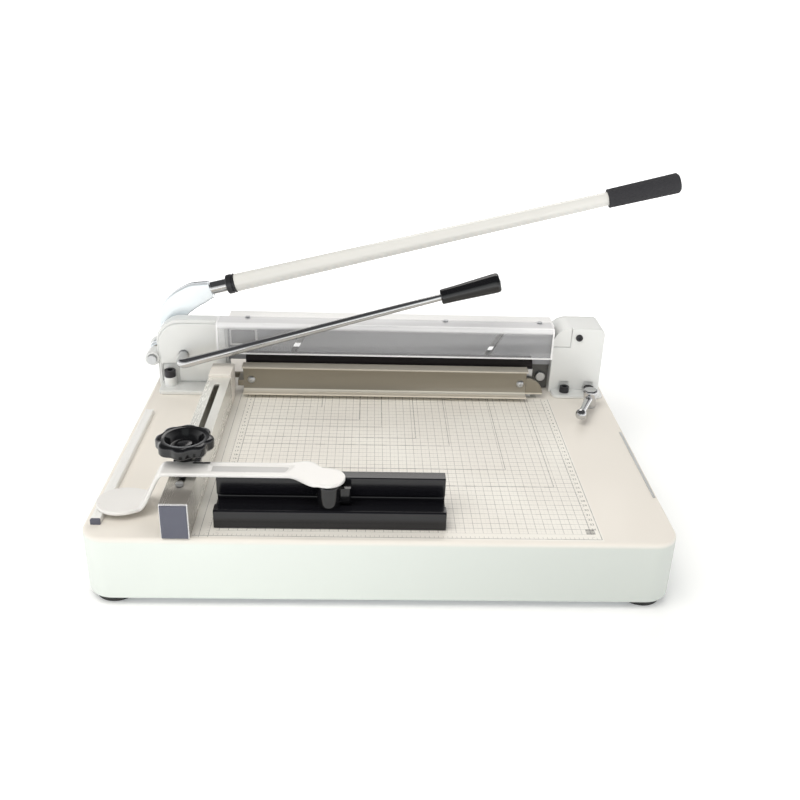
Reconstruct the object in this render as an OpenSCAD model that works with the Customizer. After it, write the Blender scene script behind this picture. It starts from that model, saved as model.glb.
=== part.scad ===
// Stack paper cutter: a flat table on a hollow casing, a knife that a long hand lever drives down
// between two end frames, a press bar worked by a second lever, and a sliding back gauge.
// The origin is on the floor under the middle of the whole machine, levers included. X runs to the
// right, Y to the rear, Z up. The modules below measure from the centre of the table's top face.

/* [Table] */
// Width of the casing, left to right
base_w = 658; // [640:1:700]
// Depth of the casing, front to rear
base_d = 500; // [480:1:540]
// Height of the casing without its feet
base_h = 80; // [60:1:100]
// Radius of the casing's upright corners
base_corner_r = 30; // [20:1:40]
// Thickness of the casing's walls
base_wall = 3; // [2:0.5:5]
// Height of the rubber feet below the casing
foot_h = 8; // [5:0.5:14]
// Radius of a rubber foot
foot_r = 25; // [16:1:26]

/* [End frames] */
// Height of the left frame above the table
left_frame_h = 103; // [102:0.5:106]
// Height of the right frame above the table
right_frame_h = 101; // [100.5:0.5:102]
// Distance of the frames' front faces from the table's front edge
frame_front = 390; // [389:0.5:390]
// Thickness of the frames' walls
frame_wall = 3.5; // [3:0.5:3.5]

/* [Knife] */
// Length of the knife
knife_l = 410; // [380:1:414]
// Height of the knife
knife_h = 43.5; // [40:0.5:44]
// Thickness of the knife
knife_t = 4; // [3:0.5:4]
// Height that the knife rises
knife_rise = 44.1; // [40:0.1:44.1]
// Distance that the knife draws sideways as it rises
knife_draw = 23.5; // [15:0.5:25]

/* [Main lever] */
// Angle of the lever above the table when the knife is down
lever_angle = 14.4; // [10:0.2:20]
// Angle through which the lever lifts
lever_swing = 60; // [60:1:60]
// Length of the painted tube
lever_tube_l = 547; // [400:1:600]
// Radius of the tube at its collar
lever_tube_r = 12.7; // [10:0.1:14]
// Radius of the tube at its grip
lever_tip_r = 9.4; // [8:0.1:11]
// Length of the rubber grip
lever_grip_l = 96; // [80:1:130]

/* [Clamp lever] */
// Angle of the clamp lever above the table as drawn
clamp_angle = 16.4; // [14:0.2:20]
// Length of the rod from its pivot to the grip
clamp_rod_l = 376; // [300:1:420]
// Radius of the rod near its pivot
clamp_rod_r = 6.5; // [5:0.1:6.8]
// Length of the tapered grip
clamp_grip_l = 82; // [60:1:100]
// Lowering of the clamp lever from the drawn place, in degrees
clamp_down = 10; // [10:1:10]
// Lifting of the clamp lever from the drawn place, in degrees
clamp_up = 65; // [65:1:65]
// Whole travel of the press bar
clamp_travel = 43; // [43:0.5:43]

/* [Press bar] */
// Length of the press bar
bar_l = 404; // [380:1:404]
// Height of the press bar
bar_h = 42.5; // [36:0.5:43]
// Depth of the press bar's lips
bar_d = 18; // [14:0.5:20]
// Clearance under the press bar as drawn
bar_lift = 6; // [6:0.1:6.5]

/* [Rail and gauge] */
// Width of the slotted rail
rail_w = 30.6; // [28:0.2:34]
// Height of the slotted rail
rail_h = 42.5; // [42:0.5:42.5]
// Length of the fence
fence_l = 255; // [200:1:262]
// Height of the fence
fence_h = 48; // [48:0.5:48]
// Radius of the star knob
knob_r = 33; // [28:0.5:38]
// Number of lobes on the star knob
knob_lobes = 8; // [5:1:10]

/* [Hidden] */
$fn = 48;

// Facets of the small circles that a hull joins
hull_fn = 32;
// Gap between parts that move past each other
gap = 0.3;
// Radial play of a shaft in its bearing
play = 0.05;

// Colours
warm_white = [0.87, 0.86, 0.82];
frame_white = [0.85, 0.86, 0.85];
sheet_cream = [0.86, 0.83, 0.79];
near_black = [0.09, 0.09, 0.1];
steel = [0.72, 0.73, 0.74];
dark_steel = [0.3, 0.31, 0.33];
champagne = [0.62, 0.58, 0.51];
beam_grey = [0.62, 0.63, 0.65];

// Moves a piece from the table's top face to the floor under the middle of the machine
module on_floor() {
  translate([-mid_x, 0, base_h + foot_h]) children();
}

// A distance behind the table's front edge, as a Y coordinate
function fy(depth) = depth - base_d / 2;

// Layers from front to rear, behind the table's front edge
bar_front = 352.5;
bar_back = bar_front + bar_d;
guard_front = bar_back + 0.5;
guard_t = 2.5;
knife_front = 374;
carrier_front = knife_front + knife_t;
carrier_back = 397;
lift_front = 394;
lift_back = 397.5;
beam_front = 398.5;
rib_front = 406.5;
rib_back = 410.5;
drive_front = 412;
drive_back = 416;
hub_front = 417.5;
hub_back = 433.5;
rear_front = 435;
rear_back = 443;
lever_y = 425;
crank_front = 398.5;
crank_back = 403.5;

// Table
casing_top_t = 4;
casing_edge = 3;
sheet_t = 0.5;
sheet_x = [-207, 243];
sheet_depth = [6, 366];
stick_w = 12;
stick_h = 8;
stick_x = [-200, 226];
stick_depth = 369;
plate_t = 2;
foot_x = 299;
foot_inset = 30;
foot_taper = 2;
foot_screw_r = 2.5;

// Left edge strip
strip_x = [-320.5, -309.5];
strip_depth = [30, 300];
strip_h = 7;
strip_plug_l = 3;

// Left frame
lf_x = [-320, -219];
lf_round = 35;
lf_flange_h = 7;
lf_flange = [360, rear_back];
pivot = [-327, 44];
pivot_r = 6;
pivot_boss_r = 10.5;
left_bolt = [-302, 380];
left_bolt_z = 20.5;
left_bolt_notch = [-313, -291, 36];
rear_bolt = [-240, 430];
opening_low = 7.5;
opening_high = 99.5;

// Right frame
rf_x = [246, 320];
rf_round = 25;
rf_small_round = 10;
rf_flange_h = 5;
rf_flange_front = 369;
cap_corner = [272, 72];
right_bolts = [[268, 383], [304, 383]];
right_bolt_z = rf_flange_h;
left_screw_r = 8;
right_screw_r = 7;
bolt_below = 20;
wing_x = [221, 246];
plate_screw_at = [283, 87];
stop_at = [235, 20];

// Cross beam and knife drive
beam_x = [-234, 246];
beam_z = [41.2, 101];
beam_bolt_head = [5.5, 3];
knife_x = -193;
knife_z = 0.3;
carrier_z = [10, 55];
pin_x = [-130, 150];
pin_z = 48;
pin_r = 4;
crank_r = knife_rise;
crank_lag = lever_swing / 2;
crank_at = [pivot[0] + crank_r * cos(crank_lag), pivot[1] - crank_r * sin(crank_lag)];
crank_pin_r = 5;
crank_slot_half = crank_pin_r + 0.75;
drive_z = [40, 55];
drive_left = crank_at[0] - knife_draw - crank_pin_r - 7;
drive_neck = -300;
drive_plate_right = -262;

// Knife screws
knife_screw_x = [-170, -90, -10, 70, 150, 200];
knife_screw_z = 30;
knife_screw_r = 3;
knife_head_r = 5;

// Main lever
hub_r = 12;
neck = [[-300, 58, 14], [-303.7, 85, 18.5], [-299.5, 101, 18.5], [-289, 115, 18.5],
        [-271, 127, 17.5], [-259, 131.5, 15.5], [-248.5, 135, 12]];
stub_start = [-246, 137.8];
stub_l = 26;
stub_face = 2.5;
stub_r = 9;
collar_l = 12;
collar_r = 13.8;
grip_lap = 14;
grip_r = 13;
grip_end_r = 14;
grip_end_bevel = [2.5, 3];
lever_l = stub_l + collar_l + lever_tube_l + lever_grip_l - grip_lap + grip_end_bevel[1];
lever_tip_x = stub_start[0] + lever_l * cos(lever_angle)
  + (grip_end_r - grip_end_bevel[0]) * sin(lever_angle);
mid_x = (pivot[0] - hub_r + lever_tip_x) / 2;

// Clamp lever and lift
clamp_at = [-282, 50];
clamp_y = 356;
clamp_shaft_r = 6.5;
clamp_swing = clamp_down + clamp_up;
lift_r = clamp_travel / (2 * sin(clamp_swing / 2));
lift_lag = clamp_swing / 2 - clamp_down;
lift_pin = [clamp_at[0] + lift_r * cos(lift_lag), clamp_at[1] - lift_r * sin(lift_lag)];
lift_pin_r = 4;
lift_slot_half = lift_pin_r + 0.95;
lift_slot_rise = 0.53;
lift_arm_z = [13.5, 22];
lift_arm_x = [-204, -198];
clamp_rod_tip_r = 4.8;
clamp_grip_r = [10.4, 13.6];

// Press bar
bar_x = -196;
bar_web = 4;
bar_lip = 2.5;
bar_screw_x = [-184.7, 199.3];
bar_screw_z = 23.5;
quarter_r = 25;

// Guard and top cover
guard_x = [-232, 243];
guard_low = 60;
cover_t = 2;
cover_z = right_frame_h;
cover_depth = [392, 431];
cover_rear_low = 55;
guard_flange = 402;
guard_bend = 6;
guard_screw_x = [-190, -50, 90, 225];
guard_screw_depth = 396.5;

// Rail
rail_x = -223.2;
rail_depth = [2, 330];
rail_wall = 3.5;
rail_slot_w = 7.2;
rail_slot = [37, 309];
rail_stop = 42;
rail_screw_depth = [24, 200];
rail_screw_r = 3;
bracket_h = 46.5;
bracket_depth = [330, 370];
bracket_step = 359.7;

// Gauge
arm_z = [48, 53];
arm_low_z = [7.5, 12];
arm_depth = [49.5, 78];
arm_disc = [-293.8, 60.3, 27.3];
arm_hub = [-62, 48.3, 19.5];
ramp_x = [-270, -241];
ramp_steps = 14;
fence_x = -185.5;
fence_front = 22.7;
fence_step = 55;
fence_back = 69;
fence_step_h = 23;
post_at = [-60, 40, 13];
stud = [rail_x, 85];
stud_r = 3;
knob_z = [66, 80];
knob_hub_r = 11;
knob_lobe_r = 7.5;
knob_dish_r = 22;
knob_dish_floor_r = 15;
knob_web = 1;
knob_dish_d = 11;

// Lock lever
lock_at = [297.5, 345];
lock_z = [3.3, 27];
lock_r = 10.5;
lock_ball = [272.5, 287, 16];
lock_ball_r = 7.6;
lock_arm_r = [5.6, 4.8];
lock_spindle_r = 4;

// ---- Shared shapes ----

// A box between two corners
module block(x, y, z) {
  translate([x[0], y[0], z[0]]) cube([x[1] - x[0], y[1] - y[0], z[1] - z[0]]);
}

// A round bar along Y at x and z, between two depths
module rod_y(at, depth, r, r2 = undef) {
  translate([at[0], fy(depth[0]), at[1]]) rotate([-90, 0, 0])
    cylinder(r1 = r, r2 = is_undef(r2) ? r : r2, h = depth[1] - depth[0]);
}

// A round bar along Z at x and a depth, between two heights
module rod_z(at, z, r, r2 = undef) {
  translate([at[0], fy(at[1]), z[0]])
    cylinder(r1 = r, r2 = is_undef(r2) ? r : r2, h = z[1] - z[0]);
}

// Extrudes an outline drawn in X and Z between two depths
module plate_y(depth) {
  translate([0, fy(depth[1]), 0]) rotate([90, 0, 0]) linear_extrude(depth[1] - depth[0]) children();
}

// Extrudes an outline drawn in depth and Z between two X places
module plate_x(x) {
  translate([x[0], -base_d / 2, 0]) rotate([90, 0, 90]) linear_extrude(x[1] - x[0]) children();
}

// A rectangle with four round corners
module round_rect(w, d, r) {
  square([w - 2 * r, d], center = true);
  square([w, d - 2 * r], center = true);
  for (sx = [-1, 1], sy = [-1, 1]) translate([sx * (w / 2 - r), sy * (d / 2 - r)]) circle(r = r);
}

// An upright frame outline that stands on z0, with its own radius at each top corner
module frame_outline(x, z0, z1, rl, rr) {
  big = max(rl, rr);
  translate([x[0], z0]) square([x[1] - x[0], z1 - big - z0]);
  translate([x[0] + rl, z0]) square([x[1] - x[0] - rl - rr, z1 - z0]);
  translate([x[0], z0]) square([rl, z1 - rl - z0]);
  translate([x[1] - rr, z0]) square([rr, z1 - rr - z0]);
  translate([x[0] + rl, z1 - rl]) circle(r = rl);
  translate([x[1] - rr, z1 - rr]) circle(r = rr);
}

// A slot with round ends between two points of a plane
module slot_2d(a, b, r) {
  v = b - a;
  translate(a) circle(r = r);
  translate(b) circle(r = r);
  translate(a) rotate(atan2(v[1], v[0])) translate([0, -r]) square([norm(v), 2 * r]);
}

// The radius of the shank under a cap screw's head
function shank_r(head_r) = head_r * 0.55;

// A socket head cap screw that points down, with its head's underside at z
module cap_screw(at, z, r, length) {
  head_h = 1.25 * r;
  difference() {
    rod_z(at, [z, z + head_h], r);
    translate([at[0], fy(at[1]), z + head_h / 2]) cylinder(r = r * 0.55, h = head_h, $fn = 6);
  }
  rod_z(at, [z - length, z], shank_r(r));
}

// ---- Table ----

module base_casing() {
  color(warm_white) on_floor() difference() {
    union() {
      translate([0, 0, -base_h])
        linear_extrude(base_h - casing_edge) round_rect(base_w, base_d, base_corner_r);
      hull() {
        translate([0, 0, -casing_edge - 0.01])
          linear_extrude(0.01) round_rect(base_w, base_d, base_corner_r);
        translate([0, 0, -0.01]) linear_extrude(0.01)
          round_rect(base_w - 2 * casing_edge, base_d - 2 * casing_edge, base_corner_r - casing_edge);
      }
    }
    casing_hollow();
    block(sheet_x, [fy(sheet_depth[0]), fy(sheet_depth[1])], [-sheet_t, 1]);
    block(stick_x, [fy(stick_depth), fy(stick_depth + stick_w)], [-stick_h, 1]);
    rod_z(lock_at, [-casing_top_t - 1, 1], lock_spindle_r + play);
    for (b = [left_bolt, rear_bolt]) rod_z(b, [-casing_top_t - 1, 1], shank_r(left_screw_r));
    for (b = right_bolts) rod_z(b, [-casing_top_t - 1, 1], shank_r(right_screw_r));
  }
}

// The casing's inside, which leaves a boss over each foot and a bed under the cutting stick
module casing_hollow() {
  inner_w = base_w - 2 * base_wall;
  inner_d = base_d - 2 * base_wall;
  difference() {
    translate([0, 0, -base_h - 1]) linear_extrude(base_h + 1 - casing_top_t)
      round_rect(inner_w, inner_d, base_corner_r - base_wall);
    block([stick_x[0] - 6, stick_x[1] + 6], [fy(stick_depth - 6), fy(stick_depth + stick_w + 6)],
          [-stick_h - 6, 0]);
    foot_places() difference() {
      cylinder(r = 9, h = base_h);
      translate([0, 0, -1]) cylinder(r = foot_screw_r, h = 21);
    }
  }
}

// Puts its children at the underside of the casing over each foot
module foot_places() {
  for (sx = [-1, 1], sy = [-1, 1])
    translate([sx * foot_x, sy * (base_d / 2 - foot_inset), -base_h + plate_t]) children();
}

module bottom_plate() {
  fit = 0.2;
  color(steel) on_floor() difference() {
    translate([0, 0, -base_h]) linear_extrude(plate_t)
      round_rect(base_w - 2 * base_wall - 2 * fit, base_d - 2 * base_wall - 2 * fit,
                 base_corner_r - base_wall - fit);
    foot_places() translate([0, 0, -plate_t - 1]) cylinder(r = foot_screw_r, h = plate_t + 2);
  }
}

module rubber_feet() {
  color(near_black) on_floor() foot_places() translate([0, 0, -plate_t - foot_h]) difference() {
    cylinder(r1 = foot_r - foot_taper, r2 = foot_r, h = foot_h);
    translate([0, 0, -1]) cylinder(r = 6, h = 4);
    cylinder(r = foot_screw_r, h = foot_h + 1);
  }
}

module foot_screws() {
  color(steel) on_floor() foot_places() translate([0, 0, -plate_t - foot_h + 0.6]) {
    cylinder(r = 5, h = 2.4);
    cylinder(r = foot_screw_r, h = foot_h + 18);
  }
}

module grid_sheet() {
  color(sheet_cream) on_floor()
    block(sheet_x, [fy(sheet_depth[0]), fy(sheet_depth[1])], [-sheet_t, 0]);
}

module cutting_stick() {
  color([0.85, 0.2, 0.18]) on_floor()
    block(stick_x, [fy(stick_depth), fy(stick_depth + stick_w)], [-stick_h, 0]);
}

module left_edge_strip() {
  color([0.93, 0.93, 0.92]) on_floor()
    block(strip_x, [fy(strip_depth[0]), fy(strip_depth[1])], [0, strip_h]);
}

module strip_end_plug() {
  color(dark_steel) on_floor()
    block(strip_x, [fy(strip_depth[0] - strip_plug_l), fy(strip_depth[0])], [0, strip_h]);
}

module right_edge_strip() {
  color([0.7, 0.7, 0.7]) on_floor() block([322, 325], [fy(98), fy(265)], [0, 1.2]);
}

// ---- Rail ----

module guide_rail() {
  inner_w = rail_w - 2 * rail_wall;
  color(warm_white) on_floor() difference() {
    block([rail_x - rail_w / 2, rail_x + rail_w / 2], [fy(rail_depth[0]), fy(rail_depth[1])],
          [0, rail_h]);
    block([rail_x - inner_w / 2, rail_x + inner_w / 2],
          [fy(rail_depth[0]) - 1, fy(rail_depth[1]) + 1], [rail_wall, rail_h - rail_wall]);
    translate([0, 0, rail_h - rail_wall - 1]) linear_extrude(rail_wall + 2)
      slot_2d([rail_x, fy(rail_slot[0] + rail_slot_w / 2)],
              [rail_x, fy(rail_slot[1] - rail_slot_w / 2)], rail_slot_w / 2);
    for (d = rail_screw_depth) rod_z([rail_x, d], [-1, rail_wall + 1], rail_screw_r);
  }
}

module rail_end_cap() {
  lap = 0.2;
  inner_w = rail_w - 2 * rail_wall - 2 * lap;
  color([0.42, 0.43, 0.5]) on_floor() {
    block([rail_x - rail_w / 2 + 1, rail_x + rail_w / 2 - 1], [fy(0.4), fy(rail_depth[0])],
          [1, rail_h - 1]);
    block([rail_x - inner_w / 2, rail_x + inner_w / 2], [fy(rail_depth[0]), fy(14)],
          [rail_wall + lap, rail_h - rail_wall - lap]);
  }
}

// The block behind the rail, whose rear part stands clear of the left frame's foot
module rail_bracket() {
  color(warm_white) on_floor() difference() {
    block([rail_x - rail_w / 2, rail_x + rail_w / 2], [fy(bracket_depth[0]), fy(bracket_depth[1])],
          [0, bracket_h]);
    block([rail_x - rail_w / 2 + 4, rail_x + rail_w / 2 - 4],
          [fy(bracket_depth[0] + 4), fy(bracket_depth[1]) + 1], [-1, bracket_h - 4]);
    block([rail_x - rail_w / 2 - 1, rail_x + rail_w / 2 + 1],
          [fy(bracket_step), fy(bracket_depth[1]) + 1], [-1, lf_flange_h + gap]);
  }
}

module rail_screws() {
  color(steel) on_floor() for (d = rail_screw_depth) {
    rod_z([rail_x, d], [rail_wall, rail_wall + 3], 5.5);
    rod_z([rail_x, d], [0, rail_wall], rail_screw_r);
  }
  color(steel) on_floor() {
    rod_z([rail_x, rail_stop], [rail_h, rail_h + 3], 4.5);
    rod_z([rail_x, rail_stop], [rail_h - rail_wall, rail_h], rail_screw_r);
  }
}

// ---- End frames ----

module left_frame() {
  color(frame_white) on_floor() difference() {
    union() {
      plate_y([frame_front, frame_front + frame_wall]) lf_outline(0);
      difference() {
        plate_y([frame_front, rib_front]) lf_outline(0);
        plate_y([frame_front - 1, rib_front + 1]) lf_outline(4);
        block([lf_x[1] - 6, lf_x[1] + 1], [fy(frame_front + frame_wall), fy(rib_front)],
              [opening_low, opening_high]);
      }
      plate_y([rib_front, rib_back]) lf_outline(0);
      left_foot();
      rear_cheek();
      rod_y(pivot, [frame_front - 4, rib_back], pivot_boss_r);
      block([pivot[0], lf_x[0] + 2], [fy(frame_front), fy(rib_back)], [pivot[1] - 8, pivot[1] + 8]);
      rod_y(clamp_at, [frame_front - 2, lift_back - 0.5], 11);
      rod_z(left_bolt, [0, left_bolt_z], 8.5);
    }
    rod_y(pivot, [frame_front - 5, rear_back + 1], pivot_r);
    rod_y(clamp_at, [frame_front - 3, lift_back], clamp_shaft_r + 1.5);
    rod_y(clamp_at, [rib_front - 1, rib_back + 1], clamp_shaft_r + play);
    rod_z(left_bolt, [-1, left_bolt_z + 1], shank_r(left_screw_r));
    rod_z(rear_bolt, [-1, lf_flange_h + 1], shank_r(left_screw_r));
    block([beam_x[0], lf_x[1] + 1], [fy(beam_front), fy(rib_front)], beam_z);
  }
}

// The left frame's outline, drawn in by an inset
module lf_outline(inset) {
  frame_outline([lf_x[0] + inset, lf_x[1] - inset], inset > 0 ? lf_flange_h : 0,
                left_frame_h - inset, lf_round - inset, 8 - inset / 2);
}

// The foot flange under both halves of the left frame
module left_foot() {
  w = lf_x[1] - lf_x[0] - 8;
  d = lf_flange[1] - lf_flange[0];
  translate([lf_x[0] + 4 + w / 2, fy(lf_flange[0] + d / 2), 0])
    linear_extrude(lf_flange_h) round_rect(w, d, 6);
}

// The rear plate that carries the rear end of the lever's shaft
module rear_cheek() {
  plate_y([rear_front, rear_back]) {
    polygon([[lf_x[0] + 6, 0], [-256, 0], [-262, 40], [pivot[0] + 4, pivot[1] + 13.4],
             [pivot[0] - 11, pivot[1] - 8]]);
    translate(pivot) circle(r = 14);
  }
}

module left_frame_plate() {
  color(frame_white) on_floor() difference() {
    plate_y([frame_front - 2, frame_front])
      frame_outline([-312, -224], lf_flange_h + 2, left_frame_h - 8, lf_round - 8, 5);
    rod_y(clamp_at, [frame_front - 3, frame_front + 1], 14);
    block([left_bolt_notch[0], left_bolt_notch[1]], [fy(frame_front - 3), fy(frame_front + 1)],
          [lf_flange_h, left_bolt_notch[2]]);
  }
}

module right_frame() {
  color(frame_white) on_floor() difference() {
    union() {
      plate_y([frame_front, 440]) rf_outline(0);
      right_foot();
    }
    plate_y([frame_front + frame_wall, 441]) rf_outline(4);
    plate_y([frame_front - 1, frame_front + frame_wall + 1]) corner_window();
    for (b = right_bolts) {
      rod_z(b, [-1, rf_flange_h + 1], shank_r(right_screw_r));
      rod_z(b, [rf_flange_h, rf_flange_h + 13], 9.5);
    }
    rod_y(plate_screw_at, [frame_front - 1, frame_front + frame_wall + 1], 3);
  }
}

// The right frame's outline, drawn in by an inset
module rf_outline(inset) {
  frame_outline([rf_x[0] + inset, rf_x[1] - inset], inset > 0 ? rf_flange_h : 0,
                right_frame_h - inset, rf_round - inset, rf_small_round - inset);
}

// The upper inner corner of the right frame's front face, which its own cap fills
module corner_window() {
  intersection() {
    rf_outline(0);
    translate([rf_x[0] - 1, cap_corner[1]]) square([cap_corner[0] - rf_x[0] + 1, 60]);
  }
}

module right_foot() {
  w = rf_x[1] - rf_x[0] + 6;
  d = 440 - rf_flange_front;
  translate([rf_x[0] + w / 2, fy(rf_flange_front + d / 2), 0])
    linear_extrude(rf_flange_h) round_rect(w - 6, d, 9);
}

module right_corner_cap() {
  seam = 0.4;
  color(frame_white) on_floor() {
    plate_y([frame_front + 0.5, frame_front + frame_wall + 1]) intersection() {
      rf_outline(0);
      translate([rf_x[0] - 1, cap_corner[1] + seam])
        square([cap_corner[0] - rf_x[0] + 1 - seam, 60]);
    }
  }
}

// The plate beside the right frame that carries the cross beam's end and the stop bolt
module right_wing() {
  color(dark_steel) on_floor() difference() {
    block(wing_x, [fy(rib_front), fy(rib_back)], [0, beam_z[1]]);
    rod_y(stop_at, [rib_front - 1, rib_back + 1], 3);
  }
}

module right_rear_plate() {
  color(frame_white) on_floor() plate_y([440, 441.5]) rf_outline(0);
}

module frame_bolts() {
  color(dark_steel) on_floor() {
    cap_screw(left_bolt, left_bolt_z, left_screw_r, left_bolt_z + bolt_below);
    cap_screw(rear_bolt, lf_flange_h, left_screw_r, lf_flange_h + bolt_below);
    for (b = right_bolts) cap_screw(b, right_bolt_z, right_screw_r, right_bolt_z + bolt_below);
  }
}

module plate_screw() {
  color(near_black) on_floor() {
    rod_y(plate_screw_at, [frame_front - 2.5, frame_front], 5);
    rod_y(plate_screw_at, [frame_front, frame_front + 9], 3);
  }
}

module stop_bolt() {
  color([0.9, 0.9, 0.9]) on_floor() {
    rod_y(stop_at, [rib_front - 5, rib_front], 7);
    rod_y(stop_at, [rib_front, rib_back + 6], 3);
  }
}

// ---- Cross beam, covers ----

module cross_beam() {
  rise = [knife_draw, knife_rise];
  color(beam_grey) on_floor() difference() {
    block(beam_x, [fy(beam_front), fy(rib_front)], beam_z);
    for (x = pin_x) plate_y([beam_front - 1, rib_front + 1])
      slot_2d([x, pin_z], [x, pin_z] + rise, pin_r + gap);
    for (b = beam_bolt_places()) {
      rod_y(b, [beam_front - 1, rib_front + 1], 3);
      rod_y(b, [beam_front - 1, beam_front + beam_bolt_head[1]], beam_bolt_head[0]);
    }
  }
}

// The four places where bolts hold the cross beam to the frames
function beam_bolt_places() = [[-227, 52], [-227, 90], [240, 52], [240, 90]];

module beam_bolts() {
  color(dark_steel) on_floor() for (b = beam_bolt_places()) {
    rod_y(b, [beam_front, beam_front + beam_bolt_head[1]], beam_bolt_head[0]);
    rod_y(b, [beam_front + beam_bolt_head[1], rib_front], 3);
  }
}

module top_cover() {
  d = cover_depth;
  color([0.92, 0.92, 0.91]) on_floor() plate_x([lf_x[1], rf_x[0]]) {
    translate([d[0], cover_z]) square([d[1] - d[0], cover_t]);
    translate([d[1] - cover_t, cover_rear_low]) square([cover_t, cover_z - cover_rear_low + 1]);
  }
}

module guard() {
  top = cover_z + cover_t;
  color([0.8, 0.84, 0.86, 0.35]) on_floor() difference() {
    plate_x(guard_x) difference() {
      union() {
        translate([guard_front, guard_low]) square([guard_t, top + guard_t - guard_low - guard_bend]);
        translate([guard_front + guard_bend, top]) square([guard_flange - guard_front - guard_bend, guard_t]);
        translate([guard_front + guard_bend, top + guard_t - guard_bend]) circle(r = guard_bend);
      }
      translate([guard_front + guard_bend, top + guard_t - guard_bend]) circle(r = guard_bend - guard_t);
      translate([guard_front + guard_t, guard_low - 1])
        square([guard_flange, top + guard_t - guard_bend - guard_low + 1]);
      translate([guard_front + guard_bend, top + guard_t - guard_bend - 1])
        square([guard_flange, guard_bend - guard_t + 1]);
    }
    for (x = guard_screw_x) rod_z([x, guard_screw_depth], [top - 1, top + guard_t + 1], 2);
  }
}

module guard_screws() {
  top = cover_z + cover_t + guard_t;
  color(steel) on_floor() for (x = guard_screw_x) {
    rod_z([x, guard_screw_depth], [top, top + 2], 4.5, 3.5);
    rod_z([x, guard_screw_depth], [top - guard_t, top], 2);
  }
}

// ---- Main lever ----

module lever_shaft() {
  color(steel) on_floor() {
    rod_y(pivot, [frame_front - 9, frame_front - 4], 6.5);
    rod_y(pivot, [frame_front - 4, rear_back + 10], pivot_r);
  }
}

module lever_nut() {
  color(steel) on_floor() difference() {
    plate_y([rear_back, rear_back + 7]) translate(pivot) circle(r = 10.5, $fn = 6);
    rod_y(pivot, [rear_back - 1, rear_back + 8], pivot_r);
  }
}

module lever_casting() {
  color([0.93, 0.94, 0.95]) on_floor() difference() {
    union() {
      plate_y([hub_front, hub_back]) {
        translate(pivot) circle(r = hub_r);
        hull() {
          translate(pivot) circle(r = hub_r - 2, $fn = hull_fn);
          translate([neck[0][0], neck[0][1]]) circle(r = neck[0][2], $fn = hull_fn);
        }
        for (i = [0 : len(neck) - 2]) hull() {
          translate([neck[i][0], neck[i][1]]) circle(r = neck[i][2], $fn = hull_fn);
          translate([neck[i + 1][0], neck[i + 1][1]]) circle(r = neck[i + 1][2], $fn = hull_fn);
        }
      }
      plate_y([hub_front, hub_front + 9]) slot_2d(pivot, crank_at, 9);
    }
    rod_y(pivot, [hub_front - 1, hub_back + 1], pivot_r + 2);
    rod_y(crank_at, [hub_front - 1, hub_front + 10], crank_pin_r - 1);
    lever_line(-10) cylinder(r = stub_r - 2, h = 30);
    lever_line(stub_face) translate([-25, -25, 0]) cube([50, 50, 25]);
  }
}

// Turns the Z axis to the lever's own line, with z = 0 at the face where the stub leaves the casting
module lever_line(z) {
  translate([stub_start[0], fy(lever_y), stub_start[1]])
    rotate([0, 90 - lever_angle, 0]) translate([0, 0, z]) children();
}

module lever_bush() {
  color([0.75, 0.6, 0.3]) on_floor() difference() {
    rod_y(pivot, [hub_front, hub_back], pivot_r + 2);
    rod_y(pivot, [hub_front - 1, hub_back + 1], pivot_r + play);
  }
}

module lever_stub() {
  color(steel) on_floor() {
    lever_line(stub_face) cylinder(r = stub_r, h = stub_l - stub_face);
    lever_line(-10) cylinder(r = stub_r - 2, h = 10 + stub_face);
    lever_line(stub_l) cylinder(r = stub_r - 2, h = collar_l + 20);
  }
}

module lever_collar() {
  color(dark_steel) on_floor() lever_line(stub_l) difference() {
    cylinder(r = collar_r, h = collar_l);
    translate([0, 0, -1]) cylinder(r = stub_r - 2, h = collar_l + 2);
  }
}

module lever_tube() {
  start = stub_l + collar_l;
  wall = 2;
  color(warm_white) on_floor() lever_line(start) difference() {
    cylinder(r1 = lever_tube_r, r2 = lever_tip_r, h = lever_tube_l);
    translate([0, 0, -0.01]) cylinder(r = stub_r - 2, h = 20.01);
    translate([0, 0, 21])
      cylinder(r1 = lever_tube_r - 2 * wall, r2 = lever_tip_r - wall, h = lever_tube_l);
  }
}

module lever_grip() {
  start = stub_l + collar_l + lever_tube_l;
  color(near_black) on_floor() lever_line(start) difference() {
    union() {
      translate([0, 0, -grip_lap]) cylinder(r1 = grip_r, r2 = grip_end_r, h = lever_grip_l);
      translate([0, 0, lever_grip_l - grip_lap])
        cylinder(r1 = grip_end_r, r2 = grip_end_r - grip_end_bevel[0], h = grip_end_bevel[1]);
    }
    translate([0, 0, -grip_lap - 1]) cylinder(r = lever_tip_r + 0.15, h = grip_lap + 1);
  }
}

module crank_pin() {
  color(steel) on_floor() {
    rod_y(crank_at, [drive_front - 1, hub_front], crank_pin_r);
    rod_y(crank_at, [hub_front, hub_front + 9], crank_pin_r - 1);
  }
}

// ---- Knife ----

module knife_carrier() {
  z = carrier_z;
  color(near_black) on_floor() difference() {
    plate_x([knife_x, knife_x + knife_l]) polygon([
      [carrier_front, z[0]], [carrier_back, z[0]], [carrier_back, z[1]],
      [carrier_front + 5, z[1]], [carrier_front, z[1] - 5]]);
    for (x = knife_screw_x)
      rod_y([x, knife_screw_z], [carrier_front - 1, carrier_front + 12], knife_screw_r);
    for (x = pin_x) rod_y([x, pin_z], [carrier_front + 6, carrier_back + 1], pin_r);
  }
}

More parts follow.
